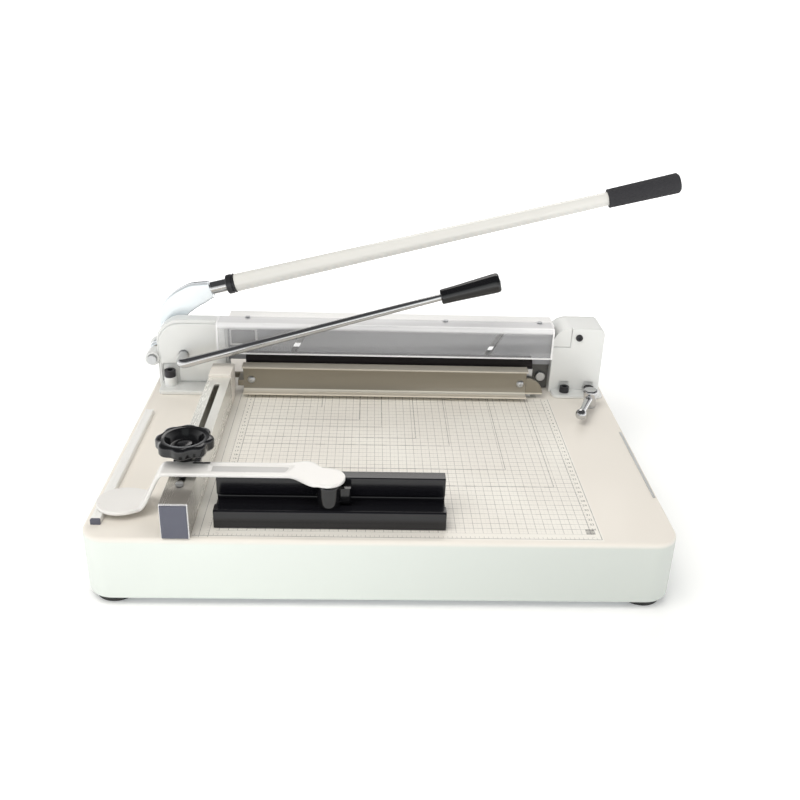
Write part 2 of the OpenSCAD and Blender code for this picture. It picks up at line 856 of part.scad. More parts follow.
module knife() {
  z = [knife_z, knife_z + knife_h];
  bevel = 9;
  color([0.8, 0.81, 0.83]) on_floor() difference() {
    plate_x([knife_x, knife_x + knife_l]) polygon([
      [knife_front, z[0]], [carrier_front, z[0] + bevel], [carrier_front, z[1]],
      [knife_front, z[1]]]);
    for (x = knife_screw_x) {
      rod_y([x, knife_screw_z], [knife_front - 1, carrier_front + 1], knife_screw_r);
      rod_y([x, knife_screw_z], [knife_front - 1, knife_front + 2.5], knife_head_r);
    }
  }
}

module knife_screws() {
  color(dark_steel) on_floor() for (x = knife_screw_x) {
    rod_y([x, knife_screw_z], [knife_front, knife_front + 2.5], knife_head_r);
    rod_y([x, knife_screw_z], [knife_front + 2.5, carrier_front + 12], knife_screw_r);
  }
}

module guide_pins() {
  color(steel) on_floor() for (x = pin_x)
    rod_y([x, pin_z], [carrier_front + 6, drive_back], pin_r);
}

module drive_bar() {
  slot_a = [crank_at[0] - knife_draw - 1, crank_at[1]];
  slot_b = [crank_at[0] + 1, crank_at[1]];
  color(dark_steel) on_floor() difference() {
    plate_y([drive_front, drive_back]) {
      translate([drive_neck, drive_z[0]]) square([pin_x[1] + 14 - drive_neck, drive_z[1] - drive_z[0]]);
      translate([drive_neck, crank_at[1] - 12])
        square([drive_plate_right - drive_neck, drive_z[1] - crank_at[1] + 12]);
      translate([drive_left, crank_at[1] - 12]) square([drive_neck - drive_left, 24]);
    }
    plate_y([drive_front - 1, drive_back + 1]) slot_2d(slot_a, slot_b, crank_slot_half);
    for (x = pin_x) rod_y([x, pin_z], [drive_front - 1, drive_back + 1], pin_r);
  }
}

// ---- Clamp lever ----

// Turns the Z axis to the clamp rod's line, with z = 0 at its pivot
module clamp_line(z) {
  translate([clamp_at[0], fy(clamp_y), clamp_at[1]])
    rotate([0, 90 - clamp_angle, 0]) translate([0, 0, z]) children();
}

module clamp_rod() {
  eye_r = 9;
  color(steel) on_floor() difference() {
    union() {
      clamp_line(0) cylinder(r1 = clamp_rod_r, r2 = clamp_rod_tip_r, h = clamp_rod_l);
      rod_y(clamp_at, [clamp_y - 6.5, clamp_y + 6.5], eye_r);
    }
    rod_y(clamp_at, [clamp_y - 4, clamp_y + 8], clamp_shaft_r - 1.5);
  }
}

module clamp_grip() {
  color(near_black) on_floor() clamp_line(clamp_rod_l - 20) difference() {
    translate([0, 0, 20]) cylinder(r1 = clamp_grip_r[0], r2 = clamp_grip_r[1], h = clamp_grip_l);
    translate([0, 0, 20 + clamp_grip_l - 2.5]) cylinder(r = 4, h = 3);
  }
}

module clamp_grip_cap() {
  color(steel) on_floor() clamp_line(clamp_rod_l + clamp_grip_l - 2.5) cylinder(r1 = 4, r2 = 3, h = 3.5);
}

module clamp_shaft() {
  color(steel) on_floor() {
    rod_y(clamp_at, [clamp_y - 4, clamp_y + 6.5], clamp_shaft_r - 1.5);
    rod_y(clamp_at, [clamp_y + 6.5, rib_back], clamp_shaft_r);
  }
}

module clamp_bush() {
  color([0.75, 0.6, 0.3]) on_floor() difference() {
    rod_y(clamp_at, [frame_front - 2, lift_back - 0.5], clamp_shaft_r + 1.5);
    rod_y(clamp_at, [frame_front - 3, lift_back + 1], clamp_shaft_r + play);
  }
}

module clamp_crank() {
  color(dark_steel) on_floor() difference() {
    union() {
      rod_y(clamp_at, [crank_front, crank_back], 12);
      plate_y([crank_front, crank_back]) slot_2d(clamp_at, lift_pin, 7.5);
    }
    rod_y(clamp_at, [crank_front - 1, crank_back + 1], clamp_shaft_r);
    rod_y(lift_pin, [crank_front - 1, crank_back + 1], lift_pin_r);
  }
}

module clamp_crank_pin() {
  color(steel) on_floor() rod_y(lift_pin, [lift_front - 0.2, crank_back], lift_pin_r);
}

// ---- Press bar ----

module press_bar() {
  z = [bar_lift, bar_lift + bar_h];
  color(champagne) on_floor() difference() {
    plate_x([bar_x, bar_x + bar_l]) {
      translate([bar_front, z[0]]) square([bar_d, bar_lip]);
      translate([bar_front, z[1] - bar_lip]) square([bar_d, bar_lip]);
      translate([bar_back - bar_web, z[0]]) square([bar_web, bar_h]);
    }
    for (x = bar_screw_x) rod_y([x, bar_screw_z], [bar_back - bar_web - 1, bar_back + 1], 3);
  }
}

module bar_screws() {
  color(steel) on_floor() for (x = bar_screw_x) {
    rod_y([x, bar_screw_z], [bar_back - bar_web - 2.6, bar_back - bar_web], 4, 5.5);
    rod_y([x, bar_screw_z], [bar_back - bar_web, bar_back], 3);
  }
}

// The quarter-round plate at the press bar's right end
module bar_end_plate() {
  corner = [bar_x + bar_l, bar_lift + 1.5];
  color([0.6, 0.6, 0.58]) on_floor() plate_y([bar_back - bar_web, bar_back]) intersection() {
    translate(corner) circle(r = quarter_r);
    translate(corner) square([quarter_r + 1, quarter_r + 1]);
  }
}

// The arm that carries the crank's lift round the rail bracket to the press bar's left end
module lift_arm() {
  slot_z = lift_pin[1] + lift_slot_rise;
  hi = slot_z + lift_slot_half + 4;
  left = lift_pin[0] - 14;
  color(dark_steel) on_floor() difference() {
    union() {
      block([lift_arm_x[0], lift_arm_x[1]], [fy(bar_back - bar_web), fy(lift_back)], lift_arm_z);
      block([lift_arm_x[0], bar_x], [fy(bar_back - bar_web), fy(bar_back)], lift_arm_z);
      block([left, lift_arm_x[1]], [fy(lift_front), fy(lift_back)], lift_arm_z);
      block([left, lift_pin[0] + 14], [fy(lift_front), fy(lift_back)], [lift_arm_z[0], hi]);
    }
    plate_y([lift_front - 1, lift_back + 1])
      slot_2d([lift_pin[0] - 4, slot_z], [lift_pin[0] + 5.5, slot_z], lift_slot_half);
  }
}

// ---- Back gauge ----

// The arm's height from 0 to 1 along the ramp
function ease(t) = t * t * (3 - 2 * t);

module gauge_arm() {
  span = ramp_x[1] - ramp_x[0];
  low = [for (i = [0 : ramp_steps]) let (t = i / ramp_steps)
         [ramp_x[0] + span * t, arm_low_z[0] + (arm_z[0] - arm_low_z[0]) * ease(t)]];
  high = [for (i = [ramp_steps : -1 : 0]) let (t = i / ramp_steps)
          [ramp_x[0] - 4 + span * t, arm_low_z[1] + (arm_z[1] - arm_low_z[1]) * ease(t)]];
  color([0.9, 0.9, 0.9]) on_floor() difference() {
    union() {
      plate_y(arm_depth) polygon(concat([[-300, arm_low_z[0]]], low, [[arm_hub[0], arm_z[0]],
        [arm_hub[0], arm_z[1]]], high, [[-300, arm_low_z[1]]]));
      rod_z([arm_disc[0], arm_disc[1]], arm_low_z, arm_disc[2]);
      rod_z([arm_hub[0], arm_hub[1]], arm_z, arm_hub[2]);
      translate([0, 0, arm_z[0]]) linear_extrude(arm_z[1] - arm_z[0])
        slot_2d([stud[0] + 3, fy(stud[1] - 8)], [stud[0] + 14, fy(stud[1] - 4)], 18);
    }
    translate([0, 0, arm_z[0] - 1]) linear_extrude(arm_z[1] - arm_z[0] + 2)
      slot_2d([stud[0] - 2, fy(stud[1])], [stud[0] + 24, fy(stud[1])], stud_r + 1);
    block([-190, -104], [fy(arm_depth[0] + 7), fy(arm_depth[1] - 6)], [arm_z[1] - 1.5, arm_z[1] + 1]);
  }
}

module gauge_fence() {
  color(near_black) on_floor() plate_x([fence_x, fence_x + fence_l]) polygon([
    [fence_front, gap], [fence_back, gap], [fence_back, fence_h], [fence_step, fence_h],
    [fence_step, fence_step_h], [fence_front + 1.5, fence_step_h], [fence_front, fence_step_h - 1.5]]);
}

module gauge_post() {
  color(near_black) on_floor() {
    rod_z([post_at[0], post_at[1]], [fence_step_h, arm_z[0]], post_at[2]);
    block([post_at[0] + 10, post_at[0] + 24], [fy(post_at[1]), fy(fence_step)],
          [fence_step_h, arm_z[0] - 6]);
  }
}

// The shoe that bears on the rail under the arm
module gauge_shoe() {
  color(near_black) on_floor() difference() {
    block([rail_x - rail_w / 2, rail_x + rail_w / 2], [fy(stud[1] - 15), fy(stud[1] + 15)],
          [rail_h + gap, arm_z[0]]);
    rod_z(stud, [rail_h, arm_z[0] + 1], stud_r);
  }
}

// The T-head stud that the knob pulls up against the rail's underside
module gauge_stud() {
  color(steel) on_floor() {
    rod_z(stud, [rail_h - rail_wall - gap, knob_z[0]], stud_r);
    block([rail_x - 10, rail_x + 10], [fy(stud[1] - 13), fy(stud[1] + 13)],
          [rail_h - rail_wall - gap - 8, rail_h - rail_wall - gap]);
  }
}

module star_knob() {
  color(near_black) on_floor() translate([stud[0], fy(stud[1]), 0]) difference() {
    union() {
      translate([0, 0, knob_z[0]]) cylinder(r = knob_r - knob_lobe_r + knob_web, h = knob_z[1] - knob_z[0]);
      for (i = [0 : knob_lobes - 1]) rotate(360 / knob_lobes * (i + 0.5))
        translate([knob_r - knob_lobe_r, 0, knob_z[0]])
          cylinder(r = knob_lobe_r, h = knob_z[1] - knob_z[0], $fn = 24);
      translate([0, 0, arm_z[1] + gap]) cylinder(r = knob_hub_r, h = knob_z[0] - arm_z[1] - gap);
    }
    translate([0, 0, knob_z[1] - knob_dish_d])
      cylinder(r1 = knob_dish_floor_r, r2 = knob_dish_r, h = knob_dish_d + 0.01);
    translate([0, 0, arm_z[1] - 1]) cylinder(r = stud_r + play, h = knob_z[0] - arm_z[1] + 1.5);
  }
}

// ---- Lock lever ----

module lock_spindle() {
  color(steel) on_floor() {
    rod_z(lock_at, [-casing_top_t - 12, lock_z[0] + 10], lock_spindle_r);
    rod_z(lock_at, [-casing_top_t - 6, -casing_top_t], 8);
    rod_z(lock_at, [0, lock_z[0] - gap], 8);
  }
}

module lock_lever() {
  from = [lock_at[0], fy(lock_at[1]), 15];
  to = [lock_ball[0], fy(lock_ball[1]), lock_ball[2]];
  v = to - from;
  color(steel) on_floor() difference() {
    union() {
      rod_z(lock_at, [lock_z[0], lock_z[1] - 5], lock_r - 1.5, lock_r);
      rod_z(lock_at, [lock_z[1] - 5, lock_z[1]], lock_r, lock_r - 3);
      translate(from) rotate([0, acos(v[2] / norm(v)), atan2(v[1], v[0])])
        cylinder(r1 = lock_arm_r[0], r2 = lock_arm_r[1], h = norm(v));
      translate(to) sphere(r = lock_ball_r);
    }
    rod_z(lock_at, [lock_z[0] - 1, lock_z[0] + 10.5], lock_spindle_r + play);
  }
}

base_casing();
bottom_plate();
rubber_feet();
foot_screws();
grid_sheet();
cutting_stick();
left_edge_strip();
strip_end_plug();
right_edge_strip();
guide_rail();
rail_end_cap();
rail_bracket();
rail_screws();
left_frame();
left_frame_plate();
right_frame();
right_corner_cap();
right_rear_plate();
right_wing();
frame_bolts();
plate_screw();
stop_bolt();
cross_beam();
beam_bolts();
top_cover();
guard();
guard_screws();
lever_shaft();
lever_nut();
clamp_bush();
lever_casting();
lever_bush();
lever_stub();
lever_collar();
lever_tube();
lever_grip();
crank_pin();
knife_carrier();
knife();
knife_screws();
guide_pins();
drive_bar();
clamp_rod();
clamp_grip();
clamp_grip_cap();
clamp_shaft();
clamp_crank();
clamp_crank_pin();
press_bar();
bar_screws();
bar_end_plate();
lift_arm();
gauge_arm();
gauge_fence();
gauge_post();
gauge_shoe();
gauge_stud();
star_knob();
lock_spindle();
lock_lever();
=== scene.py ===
"""Looks of a stack paper cutter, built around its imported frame."""

import logging
import math
from dataclasses import dataclass
from enum import Enum
from typing import Callable, Iterable, Sequence

import bmesh
import bpy
from mathutils import Matrix, Vector


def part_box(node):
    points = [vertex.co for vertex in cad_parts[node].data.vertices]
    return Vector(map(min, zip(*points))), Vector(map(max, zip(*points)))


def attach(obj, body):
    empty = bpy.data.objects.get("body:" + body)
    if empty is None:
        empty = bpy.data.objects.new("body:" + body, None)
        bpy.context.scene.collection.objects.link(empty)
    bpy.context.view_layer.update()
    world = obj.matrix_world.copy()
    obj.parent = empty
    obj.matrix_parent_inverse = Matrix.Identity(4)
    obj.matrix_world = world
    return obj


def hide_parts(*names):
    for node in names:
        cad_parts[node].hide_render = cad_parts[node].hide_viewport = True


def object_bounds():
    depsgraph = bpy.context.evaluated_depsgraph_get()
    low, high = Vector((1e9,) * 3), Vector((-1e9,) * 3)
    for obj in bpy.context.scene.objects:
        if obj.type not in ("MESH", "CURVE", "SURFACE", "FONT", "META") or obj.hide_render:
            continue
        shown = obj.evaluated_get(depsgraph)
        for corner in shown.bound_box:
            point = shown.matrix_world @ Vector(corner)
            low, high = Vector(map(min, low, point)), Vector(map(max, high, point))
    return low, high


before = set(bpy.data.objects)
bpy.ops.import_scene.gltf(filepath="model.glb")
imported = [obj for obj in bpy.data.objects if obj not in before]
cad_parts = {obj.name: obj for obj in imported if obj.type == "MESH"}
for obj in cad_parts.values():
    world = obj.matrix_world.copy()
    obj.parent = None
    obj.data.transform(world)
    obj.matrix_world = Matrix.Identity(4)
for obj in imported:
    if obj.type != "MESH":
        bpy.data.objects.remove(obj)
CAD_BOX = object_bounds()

LOG = logging.getLogger("paper_cutter")
MM = 0.001
Point = tuple[float, float, float]
Colour = tuple[float, float, float]
UPWARD = Vector((0, 0, 1))
INWARD = Vector((0, 1, 0))

_LOW, _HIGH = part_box("base_casing")
# The middle of the table's front edge, on its top face
TABLE = Vector(((_LOW[0] + _HIGH[0]) / 2, _LOW[1], _HIGH[2]))


def at(x: float, depth: float, z: float) -> Vector:
    """A place given from the table's front edge in millimetres, in the row frame in metres."""
    return TABLE + Vector((x, depth, z)) * MM


class Body(Enum):
    """The bodies of the frame that pieces ride on."""

    MACHINE = "machine"
    LEVER = "hand_lever"
    KNIFE = "knife_slide"
    CLAMP = "clamp_lever"
    PRESS = "press"
    GAUGE = "gauge"
    KNOB = "knob"
    LOCK = "lock"


class Axis(Enum):
    """The directions of the table's measures."""

    ACROSS = 0
    DEPTH = 1
    UP = 2


class Grain(Enum):
    """The direction in which a surface's fine texture is drawn out."""

    EVEN = (1.0, 1.0, 1.0)
    ALONG_X = (0.03, 1.0, 1.0)
    ALONG_Y = (1.0, 0.03, 1.0)
    ALONG_Z = (1.0, 1.0, 0.03)


# ---------------------------------------------------------------- shader trees


class Value:
    """A number or vector socket that Python arithmetic extends with Math nodes."""

    def __init__(self, tree: "Tree", socket: bpy.types.NodeSocket) -> None:
        """Keeps the tree and the socket."""
        self.tree, self.socket = tree, socket

    def math(self, operation: str, *others: "Value | float") -> "Value":
        """Adds one Math node.

        Args:
            operation: The Math node's operation.
            others: Its second and third values.

        Returns:
            The node's result.
        """
        return self.tree.node("ShaderNodeMath", {"operation": operation},
                              dict(enumerate((self, *others))))

    def __add__(self, other: "Value | float") -> "Value":
        """self + other."""
        return self.math("ADD", other)

    __radd__ = __add__

    def __sub__(self, other: "Value | float") -> "Value":
        """self - other."""
        return self.math("SUBTRACT", other)

    def __rsub__(self, other: float) -> "Value":
        """other - self."""
        return (self * -1.0) + other

    def __mul__(self, other: "Value | float") -> "Value":
        """self * other."""
        return self.math("MULTIPLY", other)

    __rmul__ = __mul__

    def __abs__(self) -> "Value":
        """The value without its sign."""
        return self.math("ABSOLUTE")

    def above(self, edge: float) -> "Value":
        """1 where the value is over edge, else 0."""
        return self.math("GREATER_THAN", edge)

    def below(self, edge: float) -> "Value":
        """1 where the value is under edge, else 0."""
        return self.math("LESS_THAN", edge)

    def between(self, low: float, high: float) -> "Value":
        """1 where the value lies from low to high, else 0."""
        return self.above(low) * self.below(high)

    def either(self, other: "Value") -> "Value":
        """The larger of two masks."""
        return self.math("MAXIMUM", other)

    def ramp(self, low: float, high: float) -> "Value":
        """0 at low, 1 at high, smooth between."""
        return self.tree.node("ShaderNodeMapRange", {"interpolation_type": "SMOOTHSTEP"},
                              {"Value": self, "From Min": low, "From Max": high})

    def line(self, place: float, half: float) -> "Value":
        """1 within half of place, else 0."""
        return abs(self - place).below(half)

    def lines(self, start: float, period: float, half: float) -> "Value":
        """1 within half of each of evenly spaced places, else 0."""
        return (self - start).math("PINGPONG", period / 2).below(half)


class Tree:
    """A node tree that grows one node at a time."""

    def __init__(self, tree: bpy.types.NodeTree) -> None:
        """Keeps the tree."""
        self.tree = tree

    def node(self, kind: str, settings: dict | None = None, inputs: dict | None = None,
             out: int | str = 0) -> Value:
        """Adds a node of any kind.

        Args:
            kind: The node's type name.
            settings: Properties, set before the sockets; "stops" fills a colour ramp.
            inputs: Values or links by socket name or number.
            out: Which output to return.

        Returns:
            That output.
        """
        node = self.tree.nodes.new(kind)
        for key, value in (settings or {}).items():
            if key == "stops":
                ramp = node.color_ramp.elements
                while len(ramp) < len(value):
                    ramp.new(1.0)
                for element, (place, colour) in zip(ramp, value):
                    element.position, element.color = place, (*colour, 1.0)
            else:
                setattr(node, key, value)
        for key, value in (inputs or {}).items():
            if isinstance(value, Value):
                self.tree.links.new(value.socket, node.inputs[key])
            else:
                node.inputs[key].default_value = value
        return Value(self, node.outputs[out])

    def place(self) -> Value:
        """The surface point in millimetres from the table's front edge."""
        coord = self.node("ShaderNodeTexCoord", out="Object")
        moved = self.vector("SUBTRACT", coord, tuple(TABLE))
        return self.vector("MULTIPLY", moved, (1 / MM,) * 3)

    def vector(self, operation: str, *values: "Value | Point") -> Value:
        """Adds one Vector Math node."""
        return self.node("ShaderNodeVectorMath", {"operation": operation},
                         dict(enumerate(values)))

    def split(self, vector: Value) -> tuple[Value, Value, Value]:
        """The three parts of a vector."""
        first = self.node("ShaderNodeSeparateXYZ", inputs={0: vector})
        outs = first.socket.node.outputs
        return first, Value(self, outs[1]), Value(self, outs[2])

    def noise(self, vector: Value, size: float, grain: Grain = Grain.EVEN,
              detail: float = 2.0) -> Value:
        """Noise from 0 to 1 with features of about that size in millimetres."""
        drawn = self.vector("MULTIPLY", vector, grain.value)
        return self.node("ShaderNodeTexNoise", inputs={
            "Vector": drawn, "Scale": 1.0 / size, "Detail": detail, "Roughness": 0.5})

    def mix(self, factor: Value, a: "Value | Colour", b: "Value | Colour") -> Value:
        """Blends colour a into colour b by factor."""
        colours = [c if isinstance(c, Value) else (*c, 1.0) for c in (a, b)]
        return self.node("ShaderNodeMix", {"data_type": "RGBA"},
                         {0: factor, 6: colours[0], 7: colours[1]}, out=2)

    def bump(self, height: Value, depth: float) -> Value:
        """A normal from a height of that depth in millimetres."""
        return self.node("ShaderNodeBump", inputs={
            "Height": height, "Strength": 1.0, "Distance": depth * MM})


class Surface(Tree):
    """The node tree of one procedural material."""

    def __init__(self, name: str) -> None:
        """Makes an empty material of that name with a Principled shader."""
        self.material = bpy.data.materials.new(name)
        self.material.use_nodes = True
        super().__init__(self.material.node_tree)
        self.tree.nodes.clear()
        self.shader = self.tree.nodes.new("ShaderNodeBsdfPrincipled")
        output = self.tree.nodes.new("ShaderNodeOutputMaterial")
        self.tree.links.new(self.shader.outputs["BSDF"], output.inputs["Surface"])

    def feed(self, **sockets: "Value | float | tuple") -> bpy.types.Material:
        """Sets or links the shader's sockets; underscores stand for spaces.

        Args:
            sockets: Values or links by socket name.

        Returns:
            The material.
        """
        for key, value in sockets.items():
            socket = self.shader.inputs[key.replace("_", " ")]
            if isinstance(value, Value):
                self.tree.links.new(value.socket, socket)
            else:
                socket.default_value = value
        return self.material


class Coating:
    """Anything that a piece can be finished in."""

    name: str

    def material(self) -> bpy.types.Material:
        """The coating's material, made once."""
        return bpy.data.materials.get(self.name) or self.make()

    def make(self) -> bpy.types.Material:
        """Builds the material."""
        raise NotImplementedError


def shade(colour: Colour, factor: float) -> Colour:
    """The colour made lighter or darker."""
    return tuple(min(1.0, c * factor) for c in colour)


@dataclass(frozen=True)
class Band:
    """A stretch of a surface along one axis that takes another colour."""

    axis: Axis
    start: float
    end: float
    colour: Colour

    def mask(self, tree: Tree, place: Value) -> Value:
        """0 before start and 1 after end."""
        return tree.split(place)[self.axis.value].ramp(self.start, self.end)


@dataclass(frozen=True)
class Finish(Coating):
    """A surface finish: its colour, gloss, mottling and fine texture, with bands of painted
    light and shade.
    """

    name: str
    colour: Colour
    roughness: float
    metallic: float = 0.0
    coat: float = 0.0
    mottle: float = 0.03
    mottle_size: float = 45.0
    grain: Grain = Grain.EVEN
    grain_size: float = 0.8
    grain_depth: float = 0.02
    rough_spread: float = 0.1
    wear: float = 0.0
    bands: tuple[Band, ...] = ()

    def make(self) -> bpy.types.Material:
        """Builds the node tree.

        Returns:
            The new material.
        """
        tree = Surface(self.name)
        place = tree.place()
        cloud = tree.noise(place, self.mottle_size, self.grain)
        fine = tree.noise(place, self.grain_size, self.grain, 3.0)
        colour = tree.mix(cloud, shade(self.colour, 1 - self.mottle),
                          shade(self.colour, 1 + self.mottle))
        for band in self.bands:
            colour = tree.mix(band.mask(tree, place), colour, band.colour)
        if self.wear:
            rubbed = tree.noise(place, 6.0, detail=5.0).ramp(0.62, 0.72) * self.wear
            colour = tree.mix(rubbed, colour, shade(self.colour, 0.6))
        rough = cloud * self.rough_spread + fine * self.rough_spread \
            + (self.roughness - self.rough_spread)
        return tree.feed(Base_Color=colour, Roughness=rough, Metallic=self.metallic,
                         Coat_Weight=self.coat, Coat_Roughness=0.08,
                         Normal=tree.bump(fine, self.grain_depth))


@dataclass(frozen=True)
class SheetPrint(Coating):
    """The table's printed sheet: a centimetre grid with rulers and paper-size corners."""

    name: str = "sheet_print"
    paper: Colour = (0.88, 0.85, 0.79)
    ink: Colour = (0.2, 0.19, 0.185)
    pitch: float = 10.0
    x_start: float = 0.88
    depth_start: float = 8.96
    left: float = -179.2
    right: float = 230.9
    border_x: float = 241.0
    border_depth: float = 9.0
    front: float = 19.0
    corners: tuple[tuple[float, float], ...] = (
        (-83.0, 329.0), (-30.0, 291.0), (0.6, 271.0), (45.0, 240.0), (88.0, 220.0),
        (153.5, 160.0), (207.0, 120.0))

    def make(self) -> bpy.types.Material:
        """Draws the print from masks over the sheet.

        Returns:
            The new material.
        """
        tree = Surface(self.name)
        place = tree.place()
        x, depth, _ = tree.split(place)
        field = x.between(self.left, self.right) * depth.above(self.front)
        grid = x.lines(self.x_start, self.pitch, 0.32).either(
            depth.lines(self.depth_start, self.pitch, 0.42)) * field * 0.62
        half = x.lines(self.x_start, self.pitch / 2, 0.2).either(
            depth.lines(self.depth_start, self.pitch / 2, 0.26)) * field * 0.2
        rules = x.line(self.left, 0.45).either(x.line(self.right, 0.45)) \
            * depth.above(self.front) * 0.75
        rules = rules.either(x.line(-189.5, 0.35).either(x.line(-199.5, 0.35)) * 0.65)
        rules = rules.either(x.line(self.border_x, 0.45) * depth.above(self.border_depth) * 0.75)
        rules = rules.either(depth.line(self.border_depth, 0.5) * x.below(self.border_x) * 0.7)
        side = x.between(self.left - 3, self.left).either(
            x.between(self.right, self.right + 3)).either(x.between(-192.5, -189.5))
        ticks = depth.lines(self.depth_start, self.pitch / 2, 0.25) * side * 0.6
        low = depth.between(self.border_depth, self.border_depth + 4) * x.below(self.border_x)
        ticks = ticks.either(x.lines(self.x_start, self.pitch / 2, 0.25) * low * 0.6)
        ink = grid.either(half).either(rules).either(ticks)
        for edge, near in self.corners:
            corner = x.line(edge, 0.4) * depth.above(near)
            corner = corner.either(depth.line(near, 0.45) * x.between(self.left, edge))
            ink = ink.either(corner * 0.85)
        broken = tree.noise(place, 9.0, detail=3.0).ramp(0.25, 0.6) * 0.45 + 0.55
        cloud = tree.noise(place, 130.0)
        paper = tree.mix(cloud.ramp(0.35, 0.65), shade(self.paper, 0.97), (0.9, 0.88, 0.82))
        colour = tree.mix(ink * broken, paper, self.ink)
        fine = tree.noise(place, 0.6, detail=3.0)
        return tree.feed(Base_Color=colour, Roughness=cloud * 0.1 + 0.42, Coat_Weight=0.08,
                         Normal=tree.bump(fine, 0.006))


@dataclass(frozen=True)
class ClearSheet(Coating):
    """Clear plastic sheet whose cut edges and bend are painted white and nearly opaque: painted
    highlights.
    """

    name: str = "clear_sheet"
    tint: Colour = (0.86, 0.87, 0.9)
    body_alpha: float = 0.08
    edge_alpha: float = 0.92
    low: float = 60.0
    left: float = -232.0
    right: float = 243.0

    def make(self) -> bpy.types.Material:
        """Builds the node tree.

        Returns:
            The new material.
        """
        tree = Surface(self.name)
        place = tree.place()
        x, _, z = tree.split(place)
        # Painted highlights: the bottom edge, the two ends and the bend are made whiter and
        # nearly opaque
        edge = z.below(self.low + 1.6).either(x.below(self.left + 2.2)).either(
            x.above(self.right - 2.2))
        bend = z.ramp(96.0, 103.0) * 0.8
        haze = tree.noise(place, 26.0, Grain.ALONG_X).ramp(0.4, 0.62) * 0.14
        alpha = (edge.either(bend) * (self.edge_alpha - self.body_alpha)) \
            + haze + self.body_alpha
        colour = tree.mix(edge.either(bend), self.tint, (0.97, 0.97, 0.98))
        smudge = tree.noise(place, 30.0, detail=3.0) * 0.05 + 0.03
        return tree.feed(Base_Color=colour, Roughness=smudge, Alpha=alpha, IOR=1.6,
                         Coat_Weight=1.0, Coat_Roughness=0.02)


# The side walls are painted darker towards the right, painted shade for the light's fall-off,
# and the top is painted warmer than the walls, a painted tint of the warm light on it
CASING = Finish("casing_powder_coat", (0.8, 0.85, 0.805), 0.46, coat=0.15, mottle=0.015,
                mottle_size=160, grain_size=0.9, grain_depth=0.02,
                bands=(Band(Axis.ACROSS, -240.0, 330.0, (0.6, 0.635, 0.6)),
                       Band(Axis.UP, -7.0, -0.5, (0.84, 0.8, 0.735))))
FRAME = Finish("frame_paint", (0.72, 0.72, 0.70), 0.42, coat=0.2, mottle=0.012,
               mottle_size=90, grain_size=1.1, grain_depth=0.03)
# The dark band round the middle of the neck's edge is a painted dark reflection, standing in for
# the dark rim along that edge
CAST = Finish("swan_neck_plating", (0.86, 0.92, 0.96), 0.2, metallic=0.5, coat=0.4,
              mottle=0.015, grain_size=2.2, grain_depth=0.012, rough_spread=0.04,
              bands=(Band(Axis.DEPTH, 424.0, 425.0, (0.06, 0.06, 0.065)),
                     Band(Axis.DEPTH, 428.0, 429.0, (0.86, 0.92, 0.96))))
TUBE = Finish("lever_tube_enamel", (0.7, 0.695, 0.665), 0.24, coat=0.45, mottle=0.015,
              mottle_size=80, grain_size=1.2, grain_depth=0.012)
# Beyond 430 mm deep the cover is painted dark grey: painted shade inside its back edge
COVER = Finish("cover_paint", (0.95, 0.95, 0.95), 0.3, coat=0.2, mottle=0.01,
               mottle_size=120, grain_size=1.2,
               bands=(Band(Axis.DEPTH, 429.6, 430.0, (0.2, 0.2, 0.21)),))
CHROME = Finish("chrome_plate", (0.6, 0.6, 0.605), 0.1, metallic=1.0, mottle=0.02,
                mottle_size=14, grain_size=0.5, grain_depth=0.004, rough_spread=0.04)
# The rail is painted dark near the front, a painted reflection of the arm and knob above it, and
# turns light by 75 mm back; within about 4 mm of the front it is light again
RAIL = Finish("rail_satin_steel", (0.34, 0.32, 0.29), 0.26, metallic=0.5, mottle=0.04,
              grain=Grain.ALONG_Y, grain_size=0.5, grain_depth=0.0008,
              bands=(Band(Axis.DEPTH, 20.0, 75.0, (0.86, 0.85, 0.8)),
                     Band(Axis.DEPTH, 5.0, 3.6, (0.9, 0.9, 0.9))))
ZINC = Finish("zinc_plate", (0.62, 0.63, 0.64), 0.32, metallic=1.0, mottle=0.06,
              mottle_size=5, grain_size=0.4, grain_depth=0.01)
OXIDE = Finish("black_oxide", (0.045, 0.045, 0.05), 0.36, metallic=0.6, mottle=0.12,
               mottle_size=4, grain_size=0.5, grain_depth=0.01)
BRUSHED = Finish("ground_knife_steel", (0.62, 0.63, 0.65), 0.3, metallic=1.0,
                 grain=Grain.ALONG_Z, grain_size=0.5, grain_depth=0.01)
CARRIER = Finish("carrier_black", (0.022, 0.02, 0.017), 0.45, mottle=0.1, grain_size=0.7)
# Behind its face the beam is painted near black, painted shade on the walls of its slots
BEAM = Finish("beam_grey_paint", (0.3, 0.305, 0.32), 0.45, mottle=0.05, mottle_size=70,
              bands=(Band(Axis.DEPTH, 398.9, 399.5, (0.03, 0.03, 0.032)),))
# The bar's base colour is darkened as a painted dark reflection in its web, and its lips are
# painted lighter as painted highlights: below 9 mm and above 46.5 mm
CHAMPAGNE = Finish("champagne_anodised", (0.31, 0.28, 0.225), 0.36, metallic=0.55,
                   mottle=0.04, mottle_size=25, grain=Grain.ALONG_X, grain_size=0.5,
                   grain_depth=0.008,
                   bands=(Band(Axis.UP, 10.5, 9.0, (0.85, 0.8, 0.7)),
                          Band(Axis.UP, 45.0, 46.5, (0.62, 0.58, 0.5))))
